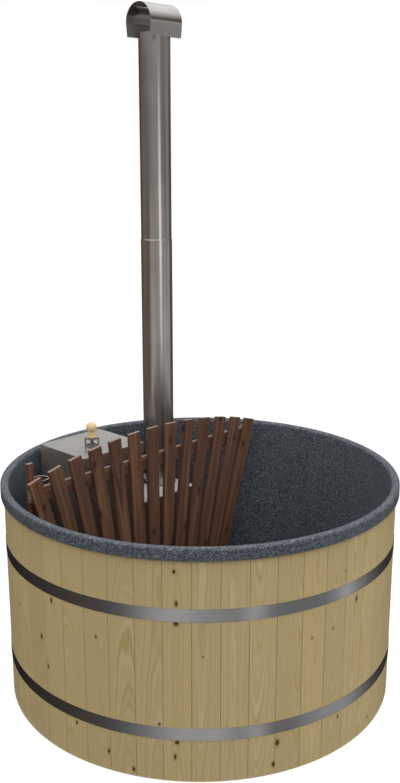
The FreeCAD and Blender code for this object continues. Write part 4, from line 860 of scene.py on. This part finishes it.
def leaning_axes(slope):
    """Up along a board of the fence that leans sideways, across it, and through it."""
    tilt = math.atan(slope)
    upwards = np.array([math.sin(tilt), 0.0, math.cos(tilt)])
    towards_stove = np.array([0.0, 1.0, 0.0])
    return np.array([upwards, np.cross(towards_stove, upwards), towards_stove])


def fence_board(name, size, middle, axes):
    """One board of the fence."""
    boards(name + "_board", [(size, middle, axes, heart())], fence_wood, name)


def middle_and_size(name):
    """The middle and the size of a node's box."""
    low, high = (np.array(corner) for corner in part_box(name))
    return (low + high) / 2, high - low


for number in range(SLAT_COUNT):
    aside = 2 * number / (SLAT_COUNT - 1) - 1
    axes = leaning_axes(aside * FAN_REACH / FAN_RISE)
    from_centre = (SLAT_TOP - SLAT_FALL * aside ** 2 - FAN_CENTRE) / axes[0][2]
    middle = axes[0] * (from_centre - SLAT[0] / 2) + (0, SLAT_FRONT + SLAT[2] / 2, FAN_CENTRE)
    fence_board(f"fence_slat_{number + 1:02d}", SLAT, middle, axes)

for name, slope in (("fence_post_left", 0.0), ("fence_post_right", FAN_REACH / FAN_RISE)):
    middle, size = middle_and_size(name)
    axes = leaning_axes(slope)
    post = (size[2] / axes[0][2], (size[0] - size[2] * slope) * axes[0][2], size[1], 0.0, slope)
    fence_board(name, post, middle, axes)

for name in ("fence_rail_top", "fence_rail_bottom"):
    middle, size = middle_and_size(name)
    fence_board(name, (size[0], size[2], size[1]), middle, LEVEL)
clothe(bronze_steel, "fence_screws")


# ---------------------------------------------------------------- flue and rain hood
# A flanged collar on the firebox, two stainless pipes slipped into each other on stop beads, and
# a sheet arch open at both ends, whose turned-in hems are riveted to the pipe.

flue_steel = metal("rolled flue steel", (0.550, 0.532, 0.518), 0.2, (60, 60, 2), spread=0.05,
                   dark_edge=(0.5, 0.42, 0.36, 1), streak=0.8)
hood_steel = metal("bent hood steel", (0.670, 0.665, 0.660), 0.15, (2, 160, 160), spread=0.06,
                   darker_arch_box=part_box("rain_hood"))
clothe(flue_steel, "flue_collar", "flue_lower", "flue_upper")
clothe(hood_steel, "rain_hood")
clothe(zinc_steel, "hood_rivets")


# ---------------------------------------------------------------- lid, cage and knob
# The plate over the chute lifts off by a turned wooden ball. A small sheet cage with windows
# keeps the ball away from the hot plate, and one screw holds the two together.

lid_steel = metal("brushed lid steel", (0.645, 0.643, 0.642), 0.28, (12, 600, 12), spread=0.07,
                  relief=0.15)
cage_steel = metal("cage steel", (0.40, 0.39, 0.38), 0.35, UNBRUSHED, spread=0.05)
clothe(lid_steel, "stove_lid")
clothe(cage_steel, "lid_handle_frame")
clothe(zinc_steel, "knob_screw")

# The knob was turned from a piece beside the log's pith.
BESIDE_PITH = (0.045, -0.02)

knob_low, knob_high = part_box("lid_knob")
pith = [(low + high) / 2 - beside for low, high, beside in zip(knob_low, knob_high, BESIDE_PITH)]
knob_wood, tree = new_material("turned knob wood")
log = vector(tree, "SUBTRACT", own_place(tree), (*pith, 0))
grain = use_group(tree, rings, {"Log": log, "Ring Width": 0.0035, "Waviness": 0.004})
colour = mixed(tree, grain["Bands"], (0.50, 0.385, 0.215, 1), (0.44, 0.315, 0.150, 1))
colour = mixed(tree, calc(tree, "MULTIPLY", grain["Lines"], 0.4), colour, (0.33, 0.20, 0.08, 1))
rough = calc(tree, "MULTIPLY_ADD", grain["Fibres"], 0.15, 0.32)
shade(tree, colour, rough, (0.2, 0.0003, grain["Lines"]))
clothe(knob_wood, "lid_knob")
